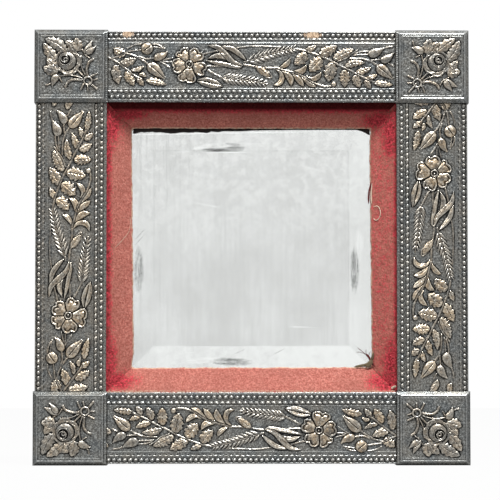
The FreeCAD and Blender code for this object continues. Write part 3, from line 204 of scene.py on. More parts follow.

# Velvet, threads and the gap above the glass.
# how far up the slope the unworn pile starts on each side, and how much painted shade and grime darken its
# outer part
PILE_START = {"top": (0.60, 0.93), "right": (0.88, 0.5), "bottom": (1.02, 0), "left": (0.82, 0.15)}
# patches of unworn pile: middle and half sizes
PILE_PX = ((112, 124, 11, 24), (128, 113, 24, 7), (381, 119, 20, 10), (390, 136, 10, 26), (393, 366, 12, 34),
           (385, 383, 18, 12), (118, 381, 19, 10), (110, 360, 8, 26))
# how far each sight edge leans inwards at its first and its last end
LEAN = {"left": (-0.1 * MM, 2.2 * MM), "right": (1.4 * MM, -0.5 * MM), "top": (0, 0), "bottom": (0, 0.5 * MM)}
SLOPE_PIXEL = 0.876 * MM        # of the photograph, down in the opening
SLOPE_MIDDLE_PX = (251.6, 247.8)
# loose threads of each side: route, thickness in millimetres, how red; above 1.4 it turns dark olive
THREADS_PX = {
    "left": rows("""
129.7 217 130 225 128.3 232 123 239.6 113.4 250 | 0.35 0.1"""),
    "right": rows("""
373.8 206.7 378.4 206.3 380.9 211.9 379.8 217.6 376.5 220.3 374 218.2 | 0.75 0; 372.2 181.8 369.8 191.8 369.2
202.9 | 1.5 1; 372.8 183 372 193.7 372.4 204 | 1 0; 375 367.4 371.4 361.6 368.8 357 366 354.2 | 1.7 1.2; 367
355.2 362.4 351.6 357.4 347.6 | 0.4 1.2; 366.8 355 361 352.6 356.6 352.6 | 0.3 1.2; 367 355 366.2 352 366.8
349.6 | 0.35 1.2; 369 357.6 369.4 354.4 371.2 351.8 | 0.3 1.2; 354.6 367.4 361 366 367.4 364.4 371.8 360 373.8
353 | 2.2 2; 366 366.6 369.6 364.4 372.2 360.6 | 4.2 2; 390.6 388.6 393 387.4 395.4 386.2 | 2 0"""),
}
THREAD_SIDES, THREAD_CLEAR, THREAD_FLAT = 8, 0.35 * MM, 0.25 * MM   # its distance from the cloth, its height
NAP, NAP_WAVE, WAVER = 0.07 * MM, 0.10 * MM, 0.16 * MM      # unevenness of the cloth and of its sight edge
GAP_STATIONS = 260
SHADOW_STRIP_FRONT, SHADOW_STRIP_BACK = 0.35 * MM, 0.12 * MM            # how far the painted shadow strip lies ahead of the glass
# lower edge of the dark gap
GAP_PX = rows("""
132.6 133.4 136.4 133 139.2 132.1 147.8 132.1 151.3 131.5 155.5 132.4 159.3 131.9 163.1 132.4 170.8 133.4 176.5
133 180.4 132.1 191.8 132.4 195.7 131.7 203.3 132.4 207.2 132.8 211 131.1 218.6 131.9 222.5 130.9 230.1 130.9
241.6 130.9 253 130.1 291.3 129.5 329.6 129.3 358.3 129.4 364.1 131.2 370.8 134.6""")[0][0]

# The stamped corner, drawn as the top left one shows it.
CORNER_ORIGIN_PX = (71.6, 66.0)
CORNER_HALF_PX = 36.83
CORNER_FIELD_PX = 28.9
CORNER_FILLETS_PX = ((32.4, 0.50 * MM), (30.0, 0.34 * MM))    # from the middle of the cap, and their rise
CORNER_FILLET_HALF_PX = 0.8
CORNER_STEM_RISE, TIE_RISE = 1.25 * MM, 1.4 * MM
MILL_RISE, MILL_PITCH_PX = 0.42 * MM, 2.1
LEDGE_PX = 3.5                      # milled ledge on the upright side that meets a rail
CAP_LEDGE_DROP = 1.7 * MM           # it keeps clear of the bevelled block under it
CORNER_LEAVES_PX = rows("""
57.4 61.6 50.4 53 44 43.4 | 9.6 4; 66.4 51 57.4 44 45.8 39 | 10.4 5; 75.4 51.4 72 45.4 66 41 | 8.4 3; 77.4 51.6
78 45.4 76.6 38 | 9.6 4; 58.6 69 53 64.6 47.4 59.4 | 8.6 3; 59 71.4 51 70.2 44 68 | 10.4 4""")
CORNER_BUDS_PX = rows("""
85.4 53.8 88.4 49.6 92.4 40.8 | 7 0; 86.4 54.2 91 51 96.8 46 | 6 0; 59.4 75.6 55.4 79.2 52.6 87 | 7.6 0""")
CORNER_STEMS_PX = rows("""
78.6 70.9 82 74.4 86 78.4 | 2; 60.9 76.6 68.7 75.4 77.1 76.6 85 79.6 | 1.5; 66.1 87 68.7 82.6 74 80 84 80.8 |
2.6; 93.6 59.4 89.6 62.5 87.3 69.8 88.1 77 | 2.6; 81.5 56.8 82.3 67.2 86 75.4 | 1.3; 90.4 77.8 92.8 76 97.6 74 |
1.9; 92.4 81 97.6 79.4 | 1.7; 90.1 82.9 97.6 89.4 | 2.3; 88.4 84.4 88.6 90.4 | 1.8; 84.4 84 81.4 90.2 | 2; 84 52
86.4 55.6 90.6 58.4 | 1.4; 58.2 76 60.6 79 62.6 82.4 | 1.4; 53.6 82 50.6 84.4 46.6 85.6 | 1.4; 85 53 82.6 49.6 |
1.4""")
TIE_PX = (88.6, 81.2, 3.9)
ROSE_PX = (69, 61.8, 13)
ROSE_BUD_PX = (67.6, 61.4, 9.1)


def clamp(value, low=0, high=1):
    """Value kept between two limits."""
    return np.clip(value, low, high)


def bell(value, width):
    """Bell curve, 1 at zero."""
    return np.exp(-(value / width) ** 2)


def arch(reach):
    """Half circle, 1 in its middle and 0 from a reach of 1 on."""
    return np.sqrt(np.clip(1 - reach ** 2, 0, 1))


def scaled(noise, size):
    """Noise brought to a mean height."""
    return noise / noise.std() * size


def smooth_line(spots, steps=8):
    """Places on a smooth curve through a row of spots."""
    knots = np.array(spots, float)
    if len(knots) < 3:
        share = np.linspace(0, 1, steps + 1)[:, None]
        return knots[0] * (1 - share) + knots[-1] * share
    ends = np.vstack([2 * knots[0] - knots[1], knots, 2 * knots[-1] - knots[-2]])
    share = np.linspace(0, 1, steps, endpoint=False)[:, None]
    runs = []
    for before, start, end, after in zip(ends, ends[1:], ends[2:], ends[3:]):
        runs.append(0.5 * (2 * start + (end - before) * share
                           + (2 * before - 5 * start + 4 * end - after) * share ** 2
                           + (3 * start - before - 3 * end + after) * share ** 3))
    return np.vstack(runs + [knots[-1:]])


def blurred(field, reach):
    """Field smoothed by a bell of the given reach, in grid steps."""
    span = int(3 * reach) + 1
    weights = np.exp(-0.5 * (np.arange(-span, span + 1) / reach) ** 2)
    weights /= weights.sum()
    for axis in (0, 1):
        padding = [(span, span) if one == axis else (0, 0) for one in (0, 1)]
        wide = np.pad(field, padding, mode="edge")
        places = np.arange(field.shape[axis])
        field = sum(weight * np.take(wide, places + start, axis) for start, weight in enumerate(weights))
    return field


class Relief:
    """Height field of a stamped sheet on a fine grid in pixels of the photograph."""

    def __init__(self, left, right, top, bottom):
        self.x, self.y = np.arange(left, right, GRID_PX), np.arange(top, bottom, GRID_PX)
        self.height = np.zeros((len(self.y), len(self.x)))
        self.tone = np.zeros_like(self.height)
        # shine: how brightly the crests of each place are painted, as highlight and rubbed metal
        self.shine = np.full_like(self.height, 0.4)
        self.face = np.ones_like(self.height)
        self.lumps = scaled(blurred(np.random.default_rng(3).normal(size=self.height.shape), 4.5), LUMPS)

    def window(self, spots, margin):
        """Part of the grid round some spots, with its coordinates."""
        spots = np.array(spots, float)
        low, high = spots.min(0) - margin, spots.max(0) + margin
        down = slice(*np.searchsorted(self.y, (low[1], high[1])))
        across = slice(*np.searchsorted(self.x, (low[0], high[0])))
        return (down, across), *np.meshgrid(self.x[across], self.y[down])

    def around(self, middle, margin):
        """Window round a spot: how far across, down and straight from it each place lies."""
        part, across, down = self.window([middle], margin)
        dx, dy = across - middle[0], down - middle[1]
        return part, dx, dy, np.hypot(dx, dy)

    def along(self, spots, margin):
        """Window round a line: how far along it each place is (0 to 1), and its signed distance."""
        line = smooth_line(spots)
        part, across, down = self.window(line, margin)
        runs = np.diff(line, axis=0)
        lengths = np.hypot(*runs.T)
        starts = np.concatenate([[0], np.cumsum(lengths)[:-1]])
        best = np.full(across.shape, np.inf)
        share, offset = np.zeros_like(best), np.zeros_like(best)
        for spot, run, length, start in zip(line, runs, lengths, starts):
            dx, dy = across - spot[0], down - spot[1]
            on = clamp((dx * run[0] + dy * run[1]) / length ** 2)
            distance = np.hypot(dx - on * run[0], dy - on * run[1])
            nearer = distance < best
            best = np.where(nearer, distance, best)
            share = np.where(nearer, (start + on * length) / lengths.sum(), share)
            offset = np.where(nearer, np.sign(dx * run[1] - dy * run[0]) * distance, offset)
        return part, share, offset, lengths.sum()

    def press(self, part, inside, height, tone):
        """Give the places inside a form its height and tone."""
        self.height[part] = np.where(inside, height, self.height[part])
        self.tone[part] = np.where(inside, tone, self.tone[part])

    def lay(self, part, edge, height, tone, shine=1.0, moat=0.5, over=False):
        """Put a form over what is there, inside a moat; edge is how far each place lies within its outline."""
        under = np.where((edge <= 0) & (edge > -moat), 0.2 * self.height[part], self.height[part])
        inside = (edge > 0) & ((height > under) | over)
        self.height[part] = under
        self.press(part, inside, height + self.lumps[part], tone)
        self.shine[part] = np.where(inside, shine, self.shine[part])

    def leaf(self, spots, width, teeth=0, rise=LEAF_RISE, tone=1.0, lobed=False):
        """Leaf with a sunk midrib, side veins and, where asked, a toothed or lobed edge."""
        width = width * LEAF_FULLNESS
        part, share, offset, length = self.along(spots, width)
        half = width / 2 * np.sin(np.pi * clamp(share) ** 0.8) ** 0.62
        if lobed:
            half = half * (0.94 - 0.11 * np.cos(2 * np.pi * (share * teeth + 0.1 * np.sign(offset))))
        elif teeth:
            half = half * (1 - 0.32 * ((share * teeth + 0.15) % 1) ** 1.5)
        reach = np.abs(offset) / np.maximum(half, 1e-3)
        lean = math.sin(7 * spots[0][0])
        height = rise * (0.26 + 0.36 * arch(reach) + 0.38 * arch(reach) ** 2 + 0.34 * lean * offset / width)
        height -= rise * 0.30 * bell(offset, 0.45)
        veins = np.sin(2 * np.pi * (share * length / 3.4 - 0.4 * np.abs(offset)))
        height += rise * (0.04 if lobed else 0.08) * veins
        height += rise * 0.10 * bell((1 - reach) * half, 0.6)
        self.lay(part, half - np.abs(offset), height, tone * (0.78 + 0.22 * math.cos(5 * spots[0][1])), 0.8)

    def blade(self, spots, width, fat=1.0, rise=PETAL_RISE, tone=0.5):
        """Smooth folded blade with one high edge, widest past its middle where fat is above 1."""
        part, share, offset, _ = self.along(spots, width)
        half = width / 2 * np.sin(np.pi * clamp(share, 0.02, 0.985) ** fat) ** 0.6
        reach = offset / np.maximum(half, 1e-3)
        height = rise * (0.42 + 0.46 * arch(reach) + 0.18 * reach - 0.2 * bell(reach + 0.25, 0.22))
        self.lay(part, half - np.abs(offset), height, tone)

    def bud(self, spots, width, slit, tone=0.8, rise=BUD_RISE, shine=1.0, moat=0.5):
        """Full bud, fat near its base and drawn out to its tip."""
        part, share, offset, _ = self.along(spots, width + 1)
        half = width / 2 * np.sin(np.pi * clamp(share, 0.001, 0.999) ** 0.62) ** 0.9
        half = np.maximum(half, width * 0.11 * (share > 0.05) * (share < 0.97))
        full = clamp(half / width * 2.2, 0.4)
        height = rise * (0.20 + 0.80 * arch(np.abs(offset) / np.maximum(half, 1e-3)) * full)
        if slit:
            height -= rise * 0.55 * bell(offset, 0.4) * (share > 0.12)
        self.lay(part, half - np.abs(offset), height, tone, shine, moat)

    def dome(self, middle, radius, rise, tone, slit=None):
        """Round boss, with a slit in the given direction where asked."""
        part, dx, dy, distance = self.around(middle, radius + 1)
        reach = distance / radius
        height = rise * (0.15 + 0.85 * arch(reach))
        if slit is not None:
            height -= rise * 0.5 * bell(dx * math.sin(slit) + dy * math.cos(slit), 0.45) * (reach < 0.78)
        self.lay(part, (1 - reach) * radius, height, tone)

    def stem(self, spots, width, rise=STEM_RISE, tone=0.35, over=False):
        """Round stalk along a smooth line."""
        part, _, offset, _ = self.along(spots, width + 1)
        height = rise * (0.2 + 0.8 * arch(2 * offset / width))
        self.lay(part, width / 2 - np.abs(offset), height, tone, 0.25, 0.4, over)

    def ear(self, spots, pairs):
        """Ear of wheat: pointed grains in pairs, the lower ones on top, and their stalk."""
        line = smooth_line(spots, 16)
        for index in reversed(range(int(pairs))):
            place = index / pairs * (len(line) - 2)
            first = int(place)
            spot = line[first] + (line[first + 1] - line[first]) * (place - first)
            run = line[min(first + 2, len(line) - 1)] - line[max(first - 1, 0)]
            size = 1 - 0.45 * (index / pairs) ** 2
            for sign in (-1, 1):
                swing = math.atan2(run[1], run[0]) + sign * GRAIN_SWING
                out = np.array([math.cos(swing), math.sin(swing)]) * GRAIN_LONG_PX * size
                bend = np.array([math.cos(swing + sign * 0.35), math.sin(swing + sign * 0.35)]) * 0.5
                route = (spot, spot + out * 0.5 + bend, spot + out)
                self.bud(route, GRAIN_WIDE_PX * size, False, 0.35, GRAIN_RISE, 0.9, 0.35)
        self.stem(spots, 1.1, over=True)

    def petal(self, centre, degrees, length, width):
        """Broad blunt petal, full in its middle, with a crease towards the flower's eye."""
        swing = math.radians(degrees)
        part, dx, dy, _ = self.around(centre, length + 2)
        out = dx * math.cos(swing) - dy * math.sin(swing)
        side = -dx * math.sin(swing) - dy * math.cos(swing)
        length = length * (1 - 0.09 * bell(side - 0.1 * width * math.sin(4 * swing), 1.5))
        share = clamp(out / length, 0.001, 0.999)
        end = (1 - clamp((share - 0.70) / 0.30) ** 2.8) ** 0.5
        half = 0.50 * width * (0.10 + 0.90 * clamp((share - 0.12) / 0.50) ** 0.75) * end
        half = half * (1 + 0.06 * np.sin(8 * share + 3 * swing)) + 0.04 * side * np.sin(5 * swing)
        edge = np.where(out > 0, np.minimum(half - np.abs(side), length - out), -9)
        across = side / np.maximum(half, 1e-3)
        bowl = clamp(1 - across ** 2) * np.sin(np.pi * share ** 0.9)
        rim = bell(edge - 0.9, 0.8) * clamp((share - 0.4) / 0.35)
        height = 0.34 + 0.18 * clamp(edge / 0.7) + 0.46 * bowl + 0.34 * rim + 0.14 * across
        height -= 0.42 * bell(edge - 2.9, 1.1) * clamp((share - 0.45) / 0.3)
        height -= 0.22 * bell(across - 0.15, 0.14) * clamp(0.9 - 1.2 * share)
        height -= 0.10 * bell(across + 0.42, 0.10) * clamp(2 * share - 0.7)
        self.lay(part, edge, PETAL_RISE * height, 0.85 * (1 - 0.75 * rim), 0.9, 1.2)

    def beads(self, level, pitch, phase, long, high, slant, strength, cut):
        """Row of oval beads, each cut flat along its lower side where asked."""
        part, across, down = self.window([(STRIP_LEFT_PX, level), (STRIP_RIGHT_PX, level)], long)
        dx = (across - phase + pitch / 2) % pitch - pitch / 2
        dy = down - level
        turn = math.radians(slant)
        reach = np.hypot((dx * math.cos(turn) + dy * math.sin(turn)) / long,
                         (dy * math.cos(turn) - dx * math.sin(turn)) / high)
        edge = np.where(cut & (dy > 0), -9, (1 - reach) * high)
        self.lay(part, edge, strength * BEAD_RISE * arch(reach), 0.1, 0.25 if cut else 0.55, 0)
        if cut:
            self.height[part] -= DASH_DEPTH * clamp(1.3 - 1.3 * np.hypot(dx / 1.9, (dy - 0.6) / 0.9))

    def fillet(self, away, half, rise, highlight_and_wear):
        """Fine ridge where a distance from its line, given for the grid, is small."""
        reach = np.abs(away) / half
        self.height = np.maximum(self.height, np.where(reach < 1, rise * arch(reach), 0))
        # how brightly the fillet's crests are painted, as highlight and rubbed metal
        self.shine = np.where(reach < 1, highlight_and_wear, self.shine)

    def stipple(self, inside, seed):
        """Punched grain on the ground."""
        grain = scaled(blurred(np.random.default_rng(seed).normal(size=self.height.shape), 1.7), GROUND_GRAIN)
        self.height += np.where(inside & (self.height < 0.2 * MM), grain, 0)

    def finish(self):
        """Work out the crests, for painted highlights and rubbed metal, and the hollows, for painted shade and
        patina.
        """
        near, wide = blurred(self.height, 4), blurred(self.height, 11)
        self.crest_highlight_and_wear = clamp((self.height - near) / (0.55 * MM)) * blurred(self.shine, 1.2)
        self.hollow_shade_and_patina = clamp((near - self.height) / (0.48 * MM))
        self.hollow_shade_and_patina = np.maximum(self.hollow_shade_and_patina, clamp((wide - self.height) / (0.95 * MM)) * 0.5)
        self.tone = blurred(self.tone, 0.8)
        return self

    def sample(self, name, across, down):
        """Field at some places, straight between grid points."""
        field = getattr(self, name)
        column = clamp((across - self.x[0]) / GRID_PX, 0, len(self.x) - 1.001)
        row = clamp((down - self.y[0]) / GRID_PX, 0, len(self.y) - 1.001)
        left, above = column.astype(int), row.astype(int)
        right_share, low_share = column - left, row - above
        upper = field[above, left] * (1 - right_share) + field[above, left + 1] * right_share
        lower = field[above + 1, left] * (1 - right_share) + field[above + 1, left + 1] * right_share
        return upper * (1 - low_share) + lower * low_share

    def metal_fields(self, across, down, room):
        """What the metal's material reads on the face, and zero on a piece's other points."""
        spare = [(0, 0)] * (across.ndim - 1) + [(0, room - across.shape[-1])]
        names = ("crest_highlight_and_wear", "hollow_shade_and_patina", "tone", "face")
        return {name: np.pad(self.sample(name, across, down), spare) for name in names}


def strip_relief():
    """The rail's die: bead rows, fillets and the running spray."""
    top = STRIP_ORIGIN_PX[1] - FIELD_SHARE * FACE_PX
    relief = Relief(STRIP_LEFT_PX, STRIP_RIGHT_PX, top, top + FACE_PX + 2 * GRID_PX)
    for level, *row in FILLETS_PX:
        relief.fillet((relief.y - level)[:, None], *row)
    for row in BEAD_ROWS_PX:
        relief.beads(*row)
    for row in LEAVES_PX:
        relief.leaf(*row)
    for row in FRONDS_PX:
        relief.blade(*row, 1.4, LEAF_RISE * 1.1, 0.9)
    for row in STEMS_PX:
        relief.stem(*row, over=True)
    for row in EARS_PX:
        relief.ear(*row)
    relief.leaf(*FOLDED_LEAF_PX, rise=0.8 * LEAF_RISE)
    for row in BLADES_PX:
        relief.blade(*row)
    for row in BUDS_PX:
        relief.bud(*row)
    relief.dome(ROUND_BUD_PX[:2], ROUND_BUD_PX[2], BUD_RISE * 1.1, 0.95, math.radians(38))
    relief.dome(BALL_PX[:2], BALL_PX[2], LEAF_RISE, 0.7)
    for row in PETALS_PX:
        relief.petal(FLOWER_PX, *row)
    part, dx, dy, reach = relief.around(FLOWER_PX, FLOWER_EYE_PX + 1)
    eye = 0.30 + 0.75 * bell(reach - 0.66 * FLOWER_EYE_PX, 0.7) + 0.6 * bell(np.hypot(dx - 0.3, dy + 0.2), 0.9)
    relief.press(part, reach < FLOWER_EYE_PX, PETAL_RISE * eye, 0.45)
    relief.stipple(((relief.y > FIELD_PX[0]) & (relief.y < FIELD_PX[1]))[:, None], 5)
    return relief.finish()


def rose_petal(relief, middle, radius, low, high, tone):
    """Round petal laid over what is there, with a turned rim."""
    part, _, _, distance = relief.around(middle, radius + 1)
    edge = radius - distance
    height = low + (high - low) * (bell(edge - 0.75, 0.7) + 0.25 * clamp(edge / radius))
    relief.press(part, edge > 0, PETAL_RISE * height, tone)


def rose(relief):
    """Open rose: scalloped outer petals, and one full petal round an opening that looks up to the left."""
    across, down, radius = ROSE_PX
    for degrees in (215, 140, 75, 5, -62, 260):
        swing = math.radians(degrees)
        spot = (across + 0.45 * radius * math.cos(swing), down - 0.45 * radius * math.sin(swing))
        rose_petal(relief, spot, 0.60 * radius, 0.36, 0.66, 0.4)
    across, down, radius = ROSE_BUD_PX
    rose_petal(relief, (across + 0.3, down + 0.4), radius + 0.6, 0.12, 0.12, 0)
    part, _, _, distance = relief.around((across, down), radius + 1)
    relief.press(part, distance < radius, PETAL_RISE * (0.35 + 1.05 * arch(distance / radius)), 0.3)
    for off, size, low, high in ((0.19, 0.72, 0.30, 1.40), (0.28, 0.48, 0.34, 1.20), (0.16, 0.27, 0.38, 1.05)):
        rose_petal(relief, (across - off * radius, down - 0.9 * off * radius), size * radius, low, high, 0.3)


def corner_relief(upright):
    """The corner's die: rose, leaves and tied stems in a double fillet, three bevelled edges, a milled one."""
    middle, half = CORNER_ORIGIN_PX, CORNER_HALF_PX
    past = half + 2 * GRID_PX
    relief = Relief(middle[0] - half, middle[0] + past, middle[1] - half, middle[1] + past)
    across, down = np.meshgrid(relief.x - middle[0], relief.y - middle[1])
    square = np.maximum(np.abs(across), np.abs(down))
    for level, rise in CORNER_FILLETS_PX:
        relief.fillet(square - level, CORNER_FILLET_HALF_PX, rise, 0.8)
    for row in CORNER_STEMS_PX:
        relief.stem(*row, CORNER_STEM_RISE, 0.5)
    for row in CORNER_LEAVES_PX:
        relief.leaf(*row, tone=0.6, lobed=True)
    for row in CORNER_BUDS_PX:
        relief.bud(*row, tone=0.5)
    part, _, _, distance = relief.around(TIE_PX[:2], TIE_PX[2] + 2)
    reach = np.abs(distance - TIE_PX[2])
    relief.lay(part, 1 - reach, TIE_RISE * arch(reach), 0.5)
    rose(relief)
    relief.stipple(square < CORNER_FIELD_PX, 9)
    slope = half * BEVEL / (CAP_HIGH.x - CAP_LOW.x) * 2
    to_rail, to_next_rail = (half - across, half - down) if upright else (half - down, half - across)
    outer = np.minimum(np.minimum(across + half, down + half), to_next_rail)
    inner = np.where(to_rail < to_next_rail, to_rail, half)
    milled = 0.6 + 0.4 * np.cos(2 * np.pi * (down if upright else across) / MILL_PITCH_PX)
    mill = MILL_RISE * milled * np.exp(-((inner - 1.3) / 0.8) ** 4)
    drop = (LEDGE_PX - inner) / LEDGE_PX * CAP_LEDGE_DROP + 0.45 * MM * bell(inner - 2.8, 0.5)
    relief.height += np.minimum(0, (outer / slope - 1) * BEVEL) * (outer < slope)
    relief.face = np.where(outer < slope + 1, 0.8, relief.face)
    relief.height = np.where(inner < LEDGE_PX, np.minimum(relief.height, mill - drop), relief.height)
    return relief.finish()


def make_mesh(name, points, faces, smooth=True):
    """Mesh object from an array of points and a list of arrays of faces, one array for each corner count."""
    mesh = bpy.data.meshes.new(name)
    points = np.reshape(points, (-1, 3))
    corners = np.concatenate([np.ravel(group) for group in faces])
    counts = np.concatenate([np.full(len(group), np.shape(group)[1]) for group in faces])
    starts = np.concatenate([[0], np.cumsum(counts)[:-1]])
    mesh.vertices.add(len(points))
    mesh.vertices.foreach_set("co", points.astype(float).ravel())
    mesh.loops.add(len(corners))
    mesh.loops.foreach_set("vertex_index", corners.astype(np.int32))
    mesh.polygons.add(len(counts))
    mesh.polygons.foreach_set("loop_start", starts.astype(np.int32))
    mesh.polygons.foreach_set("use_smooth", np.full(len(counts), smooth))
    mesh.update(calc_edges=True)
    mesh.validate()
    obj = bpy.data.objects.new(name, mesh)
    bpy.context.collection.objects.link(obj)
    return obj


def give(obj, **fields):
    """Store one number for each vertex under each name."""
    for name, values in fields.items():
        layer = obj.data.attributes.new(name, "FLOAT", "POINT")
        layer.data.foreach_set("value", np.asarray(values, np.float32).ravel())


def unwrap(obj, across, along):
    """Flat map for baking, from one pair of coordinates for each vertex."""
    layer = obj.data.uv_layers.new(name="OFBake")
    corners = np.zeros(len(obj.data.loops), np.int32)
    obj.data.loops.foreach_get("vertex_index", corners)
    flat = np.stack(np.broadcast_arrays(across, along), -1).reshape(-1, 2)[corners]
    layer.data.foreach_set("uv", flat.astype(np.float32).ravel())


def turned(points, degrees):
    """Points turned about the wall's axis, from the top to another side."""
    cos, sin = math.cos(math.radians(degrees)), math.sin(math.radians(degrees))
    x, y, z = np.moveaxis(points, -1, 0)
    return np.stack([x * cos + z * sin, y, z * cos - x * sin], -1)


def grid_faces(number):
    """Quads of a grid of numbered points."""
    return np.stack([number[:-1, :-1], number[1:, :-1], number[1:, 1:], number[:-1, 1:]], -1).reshape(-1, 4)


def ring_faces(stations, ring):
    """Quads between cross sections of one closed ring each, and the two ends."""
    number = np.arange(stations * ring).reshape(stations, ring)
    return [grid_faces(np.hstack([number, number[:, :1]])), np.stack([number[0], number[-1, ::-1]])]


def swept(name, points, flat, **mesh):
    """Bar from the points of its cross sections, unwrapped by their flat places and its length."""
    obj = make_mesh(name, points, ring_faces(*points.shape[:2]), **mesh)
    unwrap(obj, flat, np.linspace(0, 1, len(points))[:, None])
    return obj


def flat_reach(depths, heights):
    """How far round a cross section each of its points is, from 0 to 1, and the section's length so far."""
    reach = np.concatenate([[0], np.cumsum(np.hypot(np.diff(depths), np.diff(heights)))])
    return reach / reach[-1], reach


def rail_piece(side, relief):
    """Stamped sheet over one rail: the die's length is cut where this side's flower falls."""
    face_out, rail_in = RAIL_HIGH.z, RAIL_LOW.z
    pixel = (face_out - rail_in) / FACE_PX
    face = np.linspace(rail_in, face_out, FACE_ROWS)
    skirt = [GROUND - SHEET, (GROUND + WOOD_BACK) / 2]
    for depth in (WOOD_BACK - SHEET, WOOD_BACK, CORE_FRONT, LIP_BACK):
        skirt += [depth, depth]
    depths = np.concatenate([np.full(FACE_ROWS, GROUND), skirt])
    high = [face_out] * 3 + [face_out - FOLD] * 2 + [face_out - SHEET] * 2 + [rail_in + SHEET] * 2 + [rail_in]
    heights = np.concatenate([face, high])
    share = np.linspace(-1, 1, STATIONS)[:, None]
    across = STRIP_ORIGIN_PX[0] + (share * RAIL_HIGH.x - FLOWER_PLACE[side]) / pixel
    down = STRIP_ORIGIN_PX[1] - FIELD_SHARE * FACE_PX + (face_out - face[None, :]) / pixel
    across, down = np.broadcast_arrays(across, down)
    on_face = np.s_[:, :FACE_ROWS]
    lift, chip = np.zeros((2, STATIONS, len(depths)))
    lift[on_face] = relief.sample("height", across, down) + dents(across * 0.9 + SIDES[side], down)
    lift = np.maximum(lift, LOWEST_DENT)
    if side == "top":
        for middle, level, half_long, half_high in CHIPS_PX:
            reach = np.hypot((across - middle) / half_long, (down - level) / half_high)
            ragged = 0.16 * np.sin(across * 1.9) + 0.14 * np.sin(across * 3.7 + down * 2.3)
            chip[on_face] = np.maximum(chip[on_face], clamp((1 - reach + ragged) * 5))
        rough = 0.14 * MM * np.sin(across * 4.1 + 2 * np.sin(down * 2)) - 0.1 * MM
        lift[on_face] += chip[on_face] * (rough - lift[on_face])
    points = np.stack(np.broadcast_arrays(share * RAIL_HIGH.x, -depths - lift, heights), -1)
    obj = swept(f"rail_relief_{side}", turned(points, SIDES[side]), flat_reach(depths, heights)[0])
    fields = relief.metal_fields(across, down, len(depths))
    if side in SIDE_TONE:
        fields["tone"][on_face] = np.minimum(1, 1.2 * fields["tone"][on_face] + SIDE_TONE[side])
    in_field = (down > FIELD_PX[0]) & (down < FIELD_PX[1])
    # each rail's crests are painted brighter by its own share: painted highlight as well as rubbed metal
    fields["crest_highlight_and_wear"][on_face] *= np.where(in_field, *CREST_HIGHLIGHT_AND_WEAR[side])
    give(obj, chip=chip, **fields)
    return obj


def dents(across, down):
    """Slow unevenness of thin old metal."""
    wave = np.sin(across * 0.071 + 1.3) * np.sin(down * 0.11) + 0.6 * np.sin(across * 0.023 + down * 0.05)
    return wave * 0.10 * MM


def cap_piece(corner, relief):
    """Stamped cap over one corner block, drawn as the top left one and turned to its corner."""
    low, high = CAP_LOW.x, CAP_HIGH.x
    side = high - low
    across, down = np.meshgrid(*[np.linspace(0, side, CAP_GRID)] * 2)
    pixel = side / (2 * CORNER_HALF_PX)
    px = CORNER_ORIGIN_PX[0] - CORNER_HALF_PX + across.ravel() / pixel
    py = CORNER_ORIGIN_PX[1] - CORNER_HALF_PX + down.ravel() / pixel
    lift = relief.sample("height", px, py)
    face = np.stack([across.ravel() - high, -(CAP_GROUND + lift), high - down.ravel()], -1)
    number = np.arange(CAP_GRID ** 2).reshape(CAP_GRID, CAP_GRID)
    rim = np.concatenate([number[0, :-1], number[:-1, -1], number[-1, :0:-1], number[:0:-1, 0]])
    edge = face[rim]
    outside = (edge[:, 0] < SHEET - high) | (edge[:, 2] > high - SHEET)
    foot = np.where(outside, WOOD_BACK - SHEET, CORE_FRONT + SEAM)
    inner_foot = np.where(outside, WOOD_BACK, CORE_FRONT + SEAM)

    def inset(outer, inner, depth):
        ring = edge.copy()
        ring[:, 0] = np.clip(ring[:, 0], outer - high, -low - inner)
        ring[:, 2] = np.clip(ring[:, 2], low + inner, high - outer)
        ring[:, 1] = -depth
        return ring

    rings = [inset(0, 0, (foot - edge[:, 1]) / 2), inset(0, 0, foot), inset(FOLD, SHEET, foot),
             inset(FOLD, SHEET, inner_foot), inset(SHEET, SHEET, inner_foot),
             inset(SHEET, SHEET, CAP_GROUND - BEVEL - SHEET),
             inset(SHEET + BEVEL, SHEET + BEVEL, CAP_GROUND - SHEET)]
    points = np.concatenate([face] + rings)
    faces = [grid_faces(number)]
    previous = rim
    for index in range(len(rings)):
        after = len(face) + index * len(rim) + np.arange(len(rim))
        faces.append(np.stack([previous, after, np.roll(after, -1), np.roll(previous, -1)], -1)[:, ::-1])
        previous = after
    obj = make_mesh(f"cap_relief_{corner}", turned(points, CORNERS[corner]), faces + [previous[::-1][None, :]])
    give(obj, **relief.metal_fields(px, py, len(points)))
    behind = np.repeat(np.arange(1, len(rings) + 1) / len(rings), len(rim))
    middle = np.stack([points[:, 0] + high, points[:, 2] - low], -1) / side - 0.5
    push = 0.5 * (1 + 0.4 * behind) / np.maximum(np.abs(middle[len(face):]).max(1), 1e-6)
    middle[len(face):] *= push[:, None]
    unwrap(obj, *(0.5 + 0.7 * middle.T))
    return obj


def velvet_section():
    """Cross section of a velvet slip: lip, rounded knee, slope, rolled sight edge, and its underside."""
    knee, sight, outer = RAIL_LOW.z - KNEE_SETBACK, VELVET_LOW.z, VELVET_HIGH.z
    share = np.linspace(0.04, 0.96, 34)
    slope = np.stack([VELVET_FRONT + (SIGHT_FRONT - VELVET_FRONT) * share, knee + (sight - knee) * share], 1)
    roll = [(SIGHT_FRONT - 0.35 * MM, sight + 0.12 * MM), (SIGHT_FRONT - 1.0 * MM, sight), (LEDGE, sight)]
    under = [(LEDGE, sight + CLOTH), (SIGHT_FRONT - CLOTH * 0.7, sight + CLOTH), (VELVET_FRONT - CLOTH, knee),
             (VELVET_FRONT - CLOTH, outer)]
    ring = np.vstack([[(VELVET_FRONT, outer), (VELVET_FRONT, knee + 2 * MM)], slope, roll, under])
    return *ring.T, 2 + len(slope)


